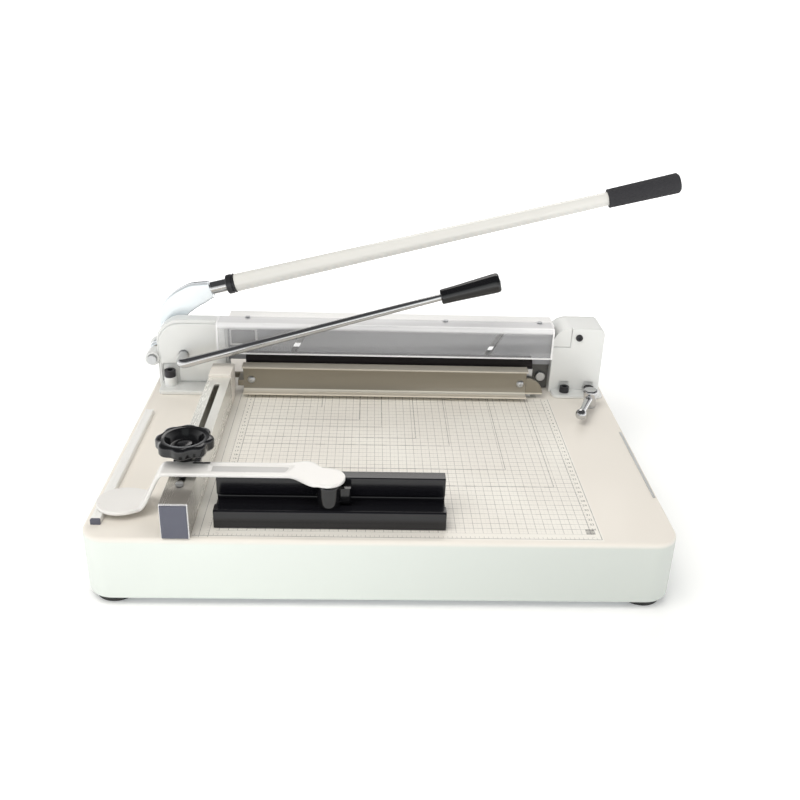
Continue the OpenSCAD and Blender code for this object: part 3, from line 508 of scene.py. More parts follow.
# On the right wing this dark grey is painted shade, for the frame's shadow that the wing lies in
PLATE = Finish("wing_grey_steel", (0.14, 0.14, 0.135), 0.4, metallic=0.6, mottle=0.08,
               mottle_size=12, wear=0.4)
BRONZE = Finish("bearing_bronze", (0.55, 0.38, 0.16), 0.35, metallic=1.0, mottle=0.06)
RUBBER = Finish("grip_rubber", (0.007, 0.007, 0.007), 0.42, mottle=0.1, mottle_size=12,
                grain_size=0.5, grain_depth=0.03)
FOOT = Finish("foot_rubber", (0.02, 0.02, 0.02), 0.75, mottle=0.15, mottle_size=8)
BLACK = Finish("black_gloss_plastic", (0.006, 0.006, 0.007), 0.16, coat=0.25, mottle=0.1,
               mottle_size=10, grain_size=0.8, grain_depth=0.006, rough_spread=0.06)
FENCE = Finish("fence_black_gloss", (0.006, 0.006, 0.008), 0.16, coat=0.15, mottle=0.1,
               mottle_size=30, grain=Grain.ALONG_X, grain_size=0.7, grain_depth=0.006,
               rough_spread=0.06)
CAP = Finish("rail_cap_blue_grey", (0.095, 0.1, 0.135), 0.34, coat=0.2, mottle=0.08,
             mottle_size=14)
STRIP = Finish("edge_strip_white", (0.88, 0.88, 0.86), 0.3, coat=0.25, mottle=0.01)
STICK = Finish("cutting_stick_cream", (0.6, 0.58, 0.52), 0.5, mottle=0.08, mottle_size=9,
               wear=0.3)
INK = Finish("ruler_ink", (0.13, 0.125, 0.12), 0.6, mottle=0.1, mottle_size=3)
CAST_ARM = Finish("arm_white_enamel", (0.83, 0.82, 0.8), 0.3, coat=0.3, mottle=0.015,
                  mottle_size=40, grain_size=1.4, grain_depth=0.012)
# A grey sheet in the arm's pressed recess, painted shade there
RECESS_SHADE = Finish("arm_recess_painted_shade", (0.55, 0.545, 0.54), 0.35, coat=0.2, mottle=0.02,
               mottle_size=30, grain_size=1.4, grain_depth=0.012)
SHEET = SheetPrint()
CLEAR = ClearSheet()


# ---------------------------------------------------------------- meshes


def arc(centre: tuple[float, float], radius: float, start: float, end: float,
        steps: int) -> list[tuple[float, float]]:
    """Points along a circle's arc.

    Args:
        centre: The circle's centre.
        radius: Its radius.
        start: The first angle in degrees.
        end: The last angle in degrees.
        steps: How many pieces the arc is cut into.

    Returns:
        steps + 1 points in a plane.
    """
    angles = (math.radians(start + (end - start) * i / steps) for i in range(steps + 1))
    return [(centre[0] + radius * math.cos(a), centre[1] + radius * math.sin(a)) for a in angles]


def round_rect(x: tuple[float, float], y: tuple[float, float], radii: Sequence[float],
               steps: int = 8) -> list[tuple[float, float]]:
    """A rectangle with four round corners.

    Args:
        x: Its left and right.
        y: Its low and high.
        radii: Corner radii from the low right corner, anticlockwise.
        steps: Pieces to each corner.

    Returns:
        The outline, anticlockwise.
    """
    corners = ((x[1], y[0], -1, 1, -90), (x[1], y[1], -1, -1, 0),
               (x[0], y[1], 1, -1, 90), (x[0], y[0], 1, 1, 180))
    points: list[tuple[float, float]] = []
    for (cx, cy, sx, sy, start), radius in zip(corners, radii):
        centre = (cx + sx * radius, cy + sy * radius)
        points += arc(centre, radius, start, start + 90, steps)
    return points


def ease(t: float) -> float:
    """0 to 1 with level ends."""
    t = min(1.0, max(0.0, t))
    return t * t * (3 - 2 * t)


def chord(x: float, middle: float, radius: float) -> float:
    """Half a circle's chord at x, or 0 outside it."""
    return math.sqrt(max(0.0, radius * radius - (x - middle) ** 2))


def slanted(angle: float) -> Vector:
    """The direction that rises to the right by that many degrees."""
    a = math.radians(angle)
    return Vector((math.cos(a), 0, math.sin(a)))


def quarter(steps: int) -> list[tuple[float, float]]:
    """Sine and cosine pairs over a quarter turn."""
    angles = (math.radians(90 * i / steps) for i in range(steps + 1))
    return [(math.sin(a), math.cos(a)) for a in angles]


class Shape:
    """A mesh being built, in millimetres from the table's front edge."""

    def __init__(self) -> None:
        """Starts an empty mesh."""
        self.bm = bmesh.new()

    @classmethod
    def traced(cls, node: str) -> "Shape":
        """A copy of a CAD node's shape with its flat faces made whole."""
        shape = cls()
        shape.bm.from_mesh(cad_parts[node].data)
        bmesh.ops.remove_doubles(shape.bm, verts=shape.bm.verts[:], dist=2e-6)
        bmesh.ops.dissolve_limit(shape.bm, angle_limit=math.radians(0.4),
                                 verts=shape.bm.verts[:], edges=shape.bm.edges[:])
        return shape

    def row(self, points: Iterable[Point]) -> list[bmesh.types.BMVert]:
        """New vertices at those places."""
        return [self.bm.verts.new(at(*p)) for p in points]

    def loft(self, rings: Sequence[Sequence[Point]], caps: tuple[bool, bool] = (True, True)
             ) -> "Shape":
        """Skins a row of closed rings.

        Args:
            rings: Rings of equal length.
            caps: Whether the first and the last ring are filled.

        Returns:
            This shape.
        """
        rows = [self.row(r) for r in rings]
        count = len(rows[0])
        for a, b in zip(rows, rows[1:]):
            for i in range(count):
                j = (i + 1) % count
                self.bm.faces.new((a[i], a[j], b[j], b[i]))
        if caps[0]:
            self.bm.faces.new(rows[0][::-1])
        if caps[1]:
            self.bm.faces.new(rows[-1])
        return self

    def along_depth(self, outline: Sequence[tuple[float, float]], near: float,
                    far: float) -> "Shape":
        """A bar with that outline in x and z, between two depths."""
        return self.loft([[(x, d, z) for x, z in outline] for d in (near, far)])

    def along_x(self, outline: Sequence[tuple[float, float]], left: float,
                right: float) -> "Shape":
        """A bar with that outline in depth and z, between two x places."""
        return self.loft([[(x, d, z) for d, z in outline] for x in (left, right)])

    def lathe(self, profile: Sequence[tuple[float, float]], origin: Point, axis: Vector,
              segments: int = 48, wave: Callable[[float, float], float] | None = None
              ) -> "Shape":
        """Turns a profile round an axis.

        Args:
            profile: Radius and height pairs from one end to the other.
            origin: Where height 0 lies.
            axis: The axis direction.
            segments: Steps round the axis.
            wave: Scales a radius by its angle and its height.

        Returns:
            This shape.
        """
        axis = axis.normalized()
        side = axis.orthogonal().normalized()
        across = axis.cross(side)
        start = Vector(origin)
        rings = []
        for radius, height in profile:
            ring = []
            for i in range(segments):
                angle = 2 * math.pi * i / segments
                r = max(radius, 0.02) * (wave(angle, height) if wave else 1.0)
                ring.append(tuple(start + axis * height + side * r * math.cos(angle)
                                  + across * r * math.sin(angle)))
            rings.append(ring)
        return self.loft(rings)

    def sweep(self, path: Sequence[Vector], radii: Sequence[float], up: Vector,
              segments: int) -> "Shape":
        """A round bar along a path.

        Args:
            path: Its middle line.
            radii: Its radius at each point.
            up: A direction that the path never takes.
            segments: Steps round the section.

        Returns:
            This shape.
        """
        rings = []
        for i, point in enumerate(path):
            ahead = path[min(i + 1, len(path) - 1)] - path[max(i - 1, 0)]
            tangent = ahead.normalized()
            across = tangent.cross(up).normalized()
            rise = across.cross(tangent)
            r = radii[i]
            rings.append([tuple(point + across * r * math.cos(a) + rise * r * math.sin(a))
                          for a in (2 * math.pi * k / segments for k in range(segments))])
        return self.loft(rings)

    def piece(self, name: str, finish: Coating, body: Body,
              slot: str, *nodes: str, bevel: float = 0.0, segments: int = 2,
              angle: float = 32.0) -> bpy.types.Object:
        """Turns the shape into a finished piece that rides on a body.

        Args:
            name: The piece's name.
            finish: What it is finished in.
            body: What it rides on.
            slot: The record's material slot; not used.
            nodes: The CAD nodes that it stands for.
            bevel: How wide its sharp edges are broken, in millimetres.
            segments: Steps across a broken edge.
            angle: The sharpest fold that still shades smooth, in degrees.

        Returns:
            The piece.
        """
        bmesh.ops.recalc_face_normals(self.bm, faces=self.bm.faces[:])
        limit = math.radians(angle)
        for face in self.bm.faces:
            face.smooth = True
        broken = self.bm.edges.layers.float.new("bevel_weight_edge")
        for edge in self.bm.edges:
            flat = len(edge.link_faces) == 2 and edge.calc_face_angle(0.0) < limit
            outward = bevel > 0 and not flat and edge.is_convex
            edge.smooth = flat or outward
            edge[broken] = float(outward)
        mesh = bpy.data.meshes.new(name)
        self.bm.to_mesh(mesh)
        self.bm.free()
        piece = bpy.data.objects.new(name, mesh)
        bpy.context.scene.collection.objects.link(piece)
        mesh.materials.append(finish.material())
        if bevel > 0:
            mod = piece.modifiers.new("edges", "BEVEL")
            mod.width, mod.segments = bevel * MM, segments
            mod.limit_method = "WEIGHT"
            mod.use_clamp_overlap = False
        weigh = piece.modifiers.new("faces", "WEIGHTED_NORMAL")
        weigh.weight, weigh.keep_sharp = 50, True
        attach(piece, body.value)
        if nodes:
            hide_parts(*nodes)
        LOG.info("%s rides on %s", name, body.value)
        return piece


def softened(body: Body, slot: str, finish: Finish, bevel: float, *nodes: str) -> None:
    """Replaces each CAD node by a copy with broken edges.

    Args:
        body: What they ride on.
        slot: The record's material slot.
        finish: What they are finished in.
        bevel: How wide the edges are broken, in millimetres.
        nodes: The CAD nodes.
    """
    for node in nodes:
        Shape.traced(node).piece(f"{node}_edged", finish, body, slot, node, bevel=bevel)


def kept(finish: Coating, *nodes: str) -> None:
    """Gives CAD nodes that stay as they are their finish."""
    for node in nodes:
        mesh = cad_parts[node].data
        mesh.materials.clear()
        mesh.materials.append(finish.material())


# ---------------------------------------------------------------- sub-assemblies


@dataclass
class Table:
    """The casing with its feet, printed sheet, rulers and edge strips."""

    half_width: float = 329.0
    depth: float = 500.0
    height: float = 80.0
    corner: float = 30.0
    edge: float = 4.5
    low_edge: float = 5.0
    # Left, right, near and far sides of the places sunk into the top
    sheet: tuple[float, float, float, float] = (-207.0, 243.0, 6.0, 366.0)
    stick: tuple[float, float, float, float] = (-200.0, 226.0, 369.0, 381.0)
    sheet_sink: float = 0.5
    stick_sink: float = 8.0
    rulers: tuple[float, float] = (-184.4, 236.0)
    ruler_length: int = 34

    def ring(self, inset: float, z: float) -> list[Point]:
        """The casing's outline drawn in by inset, at one height."""
        w = self.half_width - inset
        outline = round_rect((-w, w), (inset, self.depth - inset), [self.corner - inset] * 4, 12)
        return [(x, d, z) for x, d in outline]

    def build(self) -> None:
        """Builds the casing and everything fixed on its table."""
        self.build_casing()
        self.build_digits()
        self.build_strips()
        self.dress()

    def build_casing(self) -> None:
        """Builds the casing with a round top edge and sunk places for sheet and stick."""
        shape = Shape()
        floor = -self.height
        rings = [self.ring(self.low_edge, floor + 8), self.ring(self.low_edge, floor)]
        rings += [self.ring(self.low_edge * (1 - sine), floor + self.low_edge * (1 - cosine))
                  for sine, cosine in quarter(6)[1:]]
        rings += [self.ring(self.edge * (1 - cosine), self.edge * (sine - 1))
                  for sine, cosine in quarter(8)]
        shape.loft(rings, caps=(True, False))
        shape.bm.edges.ensure_lookup_table()
        rim = [e for e in shape.bm.edges if len(e.link_faces) == 1]
        loops = list(rim)
        sunk = ((self.sheet, self.sheet_sink), (self.stick, self.stick_sink))
        for (x0, x1, d0, d1), deep in sunk:
            corners = ((x0, d0), (x1, d0), (x1, d1), (x0, d1))
            top = shape.row((x, d, 0.0) for x, d in corners)
            low = shape.row((x, d, -deep) for x, d in corners)
            shape.bm.faces.new(low)
            for i in range(4):
                j = (i + 1) % 4
                shape.bm.faces.new((top[i], top[j], low[j], low[i]))
                loops.append(shape.bm.edges.get((top[i], top[j])))
        bmesh.ops.triangle_fill(shape.bm, edges=loops, use_beauty=True)
        shape.piece("casing_shell", CASING, Body.MACHINE, "casing_paint", "base_casing",
                    angle=40)

    def build_digits(self) -> None:
        """Prints the rulers' centimetre numbers, and short bars in the sheet's front corner."""
        shape = Shape()
        back = self.sheet[3]
        first = back - (back - SHEET.depth_start) % SHEET.pitch
        for number in range(1, self.ruler_length + 1):
            depth = first - SHEET.pitch * (number - 1)
            for x in self.rulers:
                self.digit(shape, str(number), x, depth)
        for x, depth in ((231.0, 26.5), (231.0, 21.0)):
            for row in range(3):
                z0, d0 = 0.012, depth - 1.5 + row * 1.5
                shape.loft([[(x - 5, d0, z), (x + 5, d0, z), (x + 5, d0 + 0.9, z),
                             (x - 5, d0 + 0.9, z)] for z in (z0, z0 + 0.02)])
        shape.piece("ruler_numbers", INK, Body.MACHINE, "grid_print")

    def digit(self, shape: Shape, text: str, x: float, depth: float) -> None:
        """Adds one printed number.

        Args:
            shape: The shape that takes it.
            text: The number.
            x: Its middle.
            depth: Its middle's distance from the front edge.
        """
        curve = bpy.data.curves.new("number", "FONT")
        curve.body, curve.size, curve.extrude = text, 5.2 * MM, 0.008 * MM
        curve.align_x, curve.align_y = "CENTER", "CENTER"
        holder = bpy.data.objects.new("number", curve)
        mesh = holder.to_mesh()
        mesh.transform(Matrix.Translation(at(x, depth, 0.02)))
        shape.bm.from_mesh(mesh)
        holder.to_mesh_clear()
        bpy.data.objects.remove(holder)
        bpy.data.curves.remove(curve)

    def build_strips(self) -> None:
        """Builds the raised left strip with its groove, and its dark end."""
        outline = [(-320.5, 0), (-309.5, 0), (-309.5, 6.2), (-310.3, 7), (-312.6, 7),
                   (-313.2, 6.4), (-316.8, 6.4), (-317.4, 7), (-319.7, 7), (-320.5, 6.2)]
        Shape().along_depth(outline, 30, 300).piece(
            "left_strip_bar", STRIP, Body.MACHINE, "strip_plastic", "left_edge_strip",
            bevel=0.25)
        end = round_rect((-320.5, -309.5), (0, 7), [0.4, 1.6, 1.6, 0.4], 4)
        Shape().along_depth(end, 27, 30).piece(
            "left_strip_end", CAP, Body.MACHINE, "plug_plastic", "strip_end_plug", bevel=0.3)
        thin = round_rect((322, 325), (0, 1.2), [0.05, 0.6, 0.6, 0.05], 3)
        Shape().along_depth(thin, 98, 265).piece("right_strip_bar", ZINC, Body.MACHINE,
                                                 "strip_plastic", "right_edge_strip", bevel=0.15)

    def dress(self) -> None:
        """Finishes the sheet, the stick, the feet and the underside."""
        kept(SHEET, "grid_sheet")
        kept(STICK, "cutting_stick")
        kept(ZINC, "bottom_plate", "foot_screws")
        softened(Body.MACHINE, "foot_rubber", FOOT, 0.8, "rubber_feet")


@dataclass
class Rail:
    """The slotted rail with its end cap, bracket and screws."""

    def build(self) -> None:
        """Builds the rail's pieces from the frame's own shapes."""
        softened(Body.MACHINE, "casing_paint", RAIL, 0.7, "guide_rail")
        softened(Body.MACHINE, "casing_paint", CASING, 1.2, "rail_bracket")
        softened(Body.MACHINE, "cap_plastic", CAP, 0.5, "rail_end_cap")
        softened(Body.MACHINE, "zinc_steel", ZINC, 0.4, "rail_screws")


@dataclass
class Frames:
    """The two end frames with their covers and screws, the beam and the top cover."""

    def build(self) -> None:
        """Builds the frames and what joins them."""
        softened(Body.MACHINE, "frame_paint", FRAME, 1.6, "left_frame")
        self.build_left_face()
        for node, slot, finish, bevel in (
                ("right_frame", "frame_paint", FRAME, 1.5),
                ("right_corner_cap", "frame_paint", FRAME, 0.6),
                ("right_rear_plate", "frame_paint", FRAME, 0.5),
                # The wing's dark grey is painted shade
                ("right_wing", "plate_grey", PLATE, 0.5),
                ("frame_bolts", "dark_steel", OXIDE, 0.6),
                ("stop_bolt", "zinc_steel", ZINC, 0.7),
                ("lever_nut", "zinc_steel", ZINC, 0.7),
                ("top_cover", "cover_paint", COVER, 0.6)):
            softened(Body.MACHINE, slot, finish, bevel, node)
        kept(BEAM, "cross_beam", "beam_bolts")
        kept(ZINC, "lock_spindle", "lever_shaft", "clamp_bush")
        self.build_plate_screw()

    def build_left_face(self) -> None:
        """Builds the left frame's smooth face, cut away round its bolt."""
        face = round_rect((-318, -222), (9, 98), [4, 7, 33, 4], 10)
        notch = [(-313.0, 9.0), (-313.0, 34.0), (-311.0, 36.0), (-293.0, 36.0),
                 (-291.0, 34.0), (-291.0, 9.0)]
        Shape().along_depth(face + notch, 388.0, 390.2).piece(
            "left_face", FRAME, Body.MACHINE, "frame_paint", "left_frame_plate", bevel=1.7,
            segments=3)

    def build_plate_screw(self) -> None:
        """Builds the right frame's dark socket screw."""
        shape = Shape()
        profile = [(2.6, 2.2), (2.6, 0.4), (3.4, 0.0), (4.6, 0.0), (5.0, 0.5), (5.0, 2.5)]
        shape.lathe(profile, (283, 387.5, 87), INWARD, 36)
        shape.piece("plate_screw_head", OXIDE, Body.MACHINE, "dark_steel", "plate_screw",
                    angle=50)


@dataclass
class Guard:
    """The bent clear guard and its screws."""

    front: float = 371.0
    top: float = 105.5
    sheet: float = 2.5
    bend: float = 6.0
    back: float = 402.0

    def build(self) -> None:
        """Bends the sheet and sets its screws."""
        r, t, low = self.bend, self.sheet, CLEAR.low
        centre = (self.front + r, self.top - r)
        outer = [(self.front, low)] + arc(centre, r, 180, 90, 8) + [(self.back, self.top)]
        inner = [(self.back, self.top - t)] + arc(centre, r - t, 90, 180, 8) \
            + [(self.front + t, low)]
        Shape().along_x(outer + inner, CLEAR.left, CLEAR.right).piece(
            "guard_sheet", CLEAR, Body.MACHINE, "clear_plastic", "guard", bevel=0.35)
        softened(Body.MACHINE, "zinc_steel", ZINC, 0.4, "guard_screws")


@dataclass
class Inside:
    """What shows through the guard: a plate with a rim on the beam."""

    face: float = 398.5

    def build(self) -> None:
        """Builds the plate with its rim."""
        outer = round_rect((-217.5, -178), (63, 89), [1, 1, 1, 1], 3)
        Shape().along_depth(outer, self.face - 0.8, self.face).piece(
            "window_rim", COVER, Body.MACHINE, "beam_grey", bevel=0.3)
        inner = round_rect((-215, -181), (65.5, 86.5), [1, 1, 1, 1], 3)
        Shape().along_depth(inner, self.face - 1.1, self.face - 0.7).piece(
            "window_plate", PLATE, Body.MACHINE, "beam_grey", bevel=0.1)


@dataclass
class HandLever:
    """The long lever: swan neck, stub, collar, tube and knurled grip."""

    start: tuple[float, float] = (-246.0, 137.8)
    depth: float = 425.0
    angle: float = 14.4
    stub: tuple[float, float] = (2.5, 26.0)
    collar: float = 12.0
    tube: float = 547.0
    grip: float = 96.0
    grip_radii: tuple[float, float] = (13.0, 13.95)
    lap: float = 14.0
    hub: tuple[float, float] = (-327.0, 44.0)
    hub_radius: float = 12.0
    neck_depths: tuple[float, float] = (417.5, 433.5)
    neck_edge: float = 3.5

    def turned(self, name: str, finish: Finish, slot: str, node: str,
               profile: Sequence[tuple[float, float]], segments: int = 56,
               wave: Callable[[float, float], float] | None = None) -> None:
        """Builds one piece turned about the lever's line.

        Args:
            name: The piece's name.
            finish: What it is finished in.
            slot: The record's material slot.
            node: The CAD node that it stands for.
            profile: Radius and distance along the lever.
            segments: Steps round the lever.
            wave: Scales a radius by its angle and distance.
        """
        origin = (self.start[0], self.depth, self.start[1])
        Shape().lathe(profile, origin, slanted(self.angle), segments, wave).piece(
            name, finish, Body.LEVER, slot, node, angle=38)

    def build(self) -> None:
        """Builds the lever from its hub outwards."""
        self.build_neck()
        s0, s1 = self.stub
        self.turned("neck_stub", CHROME, "chrome_steel", "lever_stub",
                    [(6.9, s0 - 12), (6.9, s0), (8.6, s0), (9.0, s0 + 0.5), (9.0, s1 - 0.5),
                     (8.6, s1), (6.9, s1), (6.9, s1 + self.collar + 18)])
        c1 = s1 + self.collar
        self.turned("neck_collar", OXIDE, "dark_steel", "lever_collar",
                    [(7.0, s1), (12.8, s1), (13.8, s1 + 1.2), (13.8, c1 - 4.4),
                     (12.6, c1 - 3.6), (12.6, c1 - 2.6), (13.8, c1 - 1.8), (13.8, c1 - 0.6),
                     (13.2, c1), (7.0, c1)])
        t1 = c1 + self.tube
        self.turned("tapered_tube", TUBE, "casing_paint", "lever_tube",
                    [(7.1, c1 + 18), (7.1, c1), (11.9, c1), (12.7, c1 + 0.8),
                     (9.4, t1 - 0.6), (8.9, t1), (7.0, t1)])
        self.build_grip(t1)
        kept(BRONZE, "lever_bush")
        kept(ZINC, "crank_pin")

    def neck_outline(self, inset: float) -> list[tuple[float, float]]:
        """The swan neck's outline in x and z.

        Args:
            inset: How far it is drawn in.

        Returns:
            Its points, from the hub round to the stub and back.
        """
        hub = (*self.hub, self.hub_radius)
        knots = [hub, hub, (-301, 58, 14), (-303.7, 85, 18.5),
                 (-299.5, 101, 18.5), (-289, 115, 18.5), (-271, 127, 17.5),
                 (-259, 131.5, 15.5), (-248, 135.6, 12.6), (-243, 137.6, 11.8),
                 (-240, 138.4, 11.5)]
        spine: list[Vector] = []
        for a, b, c, d in zip(knots, knots[1:], knots[2:], knots[3:]):
            for i in range(8):
                t = i / 8
                spine.append(Vector(
                    0.5 * (2 * q + (u - p) * t + (2 * p - 5 * q + 4 * u - v) * t * t
                           + (3 * q - p - 3 * u + v) * t ** 3)
                    for p, q, u, v in zip(a, b, c, d)))
        left, right = [], []
        for before, here, after in zip(spine, spine[1:], spine[2:]):
            way = Vector((after.x - before.x, after.y - before.y)).normalized()
            half = here.z - inset
            left.append((here.x - way.y * half, here.y + way.x * half))
            right.append((here.x + way.y * half, here.y - way.x * half))
        return arc(self.hub, self.hub_radius - inset, 118, 298, 16) + right + left[::-1]

    def build_neck(self) -> None:
        """Builds the swan neck with round edges."""
        (near, far), edge = self.neck_depths, self.neck_edge
        rings = [(edge * (1 - sine), near + edge * (1 - cosine)) for sine, cosine in quarter(6)]
        rings += [(inset, near + far - d) for inset, d in rings[::-1]]
        Shape().loft([[(x, d, z) for x, z in self.neck_outline(inset)]
                      for inset, d in rings]).piece(
            "swan_neck", CAST, Body.LEVER, "lever_paint", "lever_casting", angle=50)

    def build_grip(self, end: float) -> None:
        """Builds the grip with raised diamonds between two plain bands.

        Args:
            end: Where the tube ends along the lever.
        """
        low, high = end - self.lap, end - self.lap + self.grip
        inner, outer = self.grip_radii

        def groove(t: float) -> float:
            """1 in the middle of a groove that comes once in each unit, else 0."""
            return max(0.0, 1 - abs((t % 1.0) - 0.5) / 0.16)

        def diamonds(angle: float, height: float) -> float:
            """The radius scale where two sets of slanted grooves cross."""
            if not low + 5 < height < high - 7:
                return 1.0
            turn, run = angle * 14 / (2 * math.pi), (height - low) / 9.5
            return 1.0 - 0.05 * max(groove(turn + run), groove(turn - run))

        profile = [(9.6, low), (12.2, low), (inner, low + 0.8)]
        steps = 120
        for i in range(1, steps):
            t = i / steps
            profile.append((inner + (outer - inner) * t, low + 0.8 + (self.grip - 0.8) * t))
        profile += [(outer, high), (13.2, high + 1.2), (11.5, high + 3.0), (6.0, high + 3.0)]
        self.turned("rubber_grip", RUBBER, "grip_rubber", "lever_grip", profile, 112, diamonds)


@dataclass
class ClampLever:
    """The bent chrome rod with its tapered grip, and its crank behind the frame."""

    pivot: tuple[float, float] = (-282.0, 50.0)
    depth: float = 356.0
    angle: float = 16.4
    rod: float = 376.0
    grip: float = 82.0
    radius: float = 6.5
    bend: float = 13.0
    # How far the elbow lies from the pivot's line, to clear the rail's block
    elbow: Point = (-1.5, 2.0, -2.0)

    def build(self) -> None:
        """Builds the rod, its grip and its end."""
        corner = Vector((self.pivot[0], self.depth, self.pivot[1]))
        axis = slanted(self.angle)
        up = INWARD.cross(axis)
        tip = corner + axis * self.rod
        elbow = corner + Vector(self.elbow)
        run = (tip - elbow).normalized()
        path = [corner + INWARD * (34 - i * 6.0) for i in range(4)]
        sizes = [self.radius] * 4
        start, finish = path[-1], elbow + run * self.bend
        for i in range(1, 15):
            t = i / 15
            path.append(start * (1 - t) ** 2 + elbow * 2 * t * (1 - t) + finish * t * t)
            sizes.append(self.radius + 0.6 * ease(t * 1.6))
        for i in range(25):
            t = i / 24
            path.append(finish + (tip - finish) * t)
            sizes.append(self.radius - 1.7 * t + 0.6 * math.exp(-t / 0.04))
        Shape().sweep(path, sizes, up, 36).piece(
            "clamp_bar", CHROME, Body.CLAMP, "chrome_steel", "clamp_rod", "clamp_shaft",
            angle=60)
        origin = tuple(corner)
        end = self.rod + self.grip
        Shape().lathe([(5.0, self.rod - 0.4), (9.2, self.rod - 0.4), (10.2, self.rod + 0.6),
                       (10.4, self.rod + 2.0), (10.9, self.rod + 20), (12.2, self.rod + 48),
                       (13.4, end - 10), (13.5, end - 5), (12.9, end - 2), (11.2, end - 0.4),
                       (8.0, end), (4.4, end), (4.2, end - 1.2)], origin, axis, 56).piece(
            "clamp_handle", BLACK, Body.CLAMP, "black_plastic", "clamp_grip", angle=50)
        Shape().lathe([(3.9, end - 2.2), (3.9, end), (3.4, end + 0.7), (2.0, end + 1.0)],
                      origin, axis, 24).piece(
            "clamp_handle_end", ZINC, Body.CLAMP, "zinc_steel", "clamp_grip_cap", angle=50)
        kept(OXIDE, "clamp_crank")
        kept(ZINC, "clamp_crank_pin")


@dataclass
class KnifeUnit:
    """The knife on its carrier, with the drive bar."""

    def build(self) -> None:
        """Finishes the knife's pieces."""
        softened(Body.KNIFE, "carrier_black", CARRIER, 0.8, "knife_carrier")
        kept(BRUSHED, "knife")
        kept(OXIDE, "knife_screws", "drive_bar", "guide_pins")


@dataclass
class PressBar:
    """The press bar with its screws, end plate and lift arm."""

    def build(self) -> None:
        """Builds the bar's pieces."""
        softened(Body.PRESS, "bar_champagne", CHAMPAGNE, 0.5, "press_bar")
        softened(Body.PRESS, "plate_grey", CHAMPAGNE, 0.5, "bar_end_plate")
        softened(Body.PRESS, "dark_steel", CHAMPAGNE, 0.4, "lift_arm")
        shape = Shape()
        for x in (-184.7, 199.3):
            shape.lathe([(1.5, 0.9), (1.6, 0.1), (2.6, 0.0), (4.4, 0.6), (5.5, 2.0), (5.5, 2.6)],
                        (x, 363.9, 23.5), INWARD, 32)
        shape.piece("bar_screw_heads", ZINC, Body.PRESS, "zinc_steel", "bar_screws", angle=50)


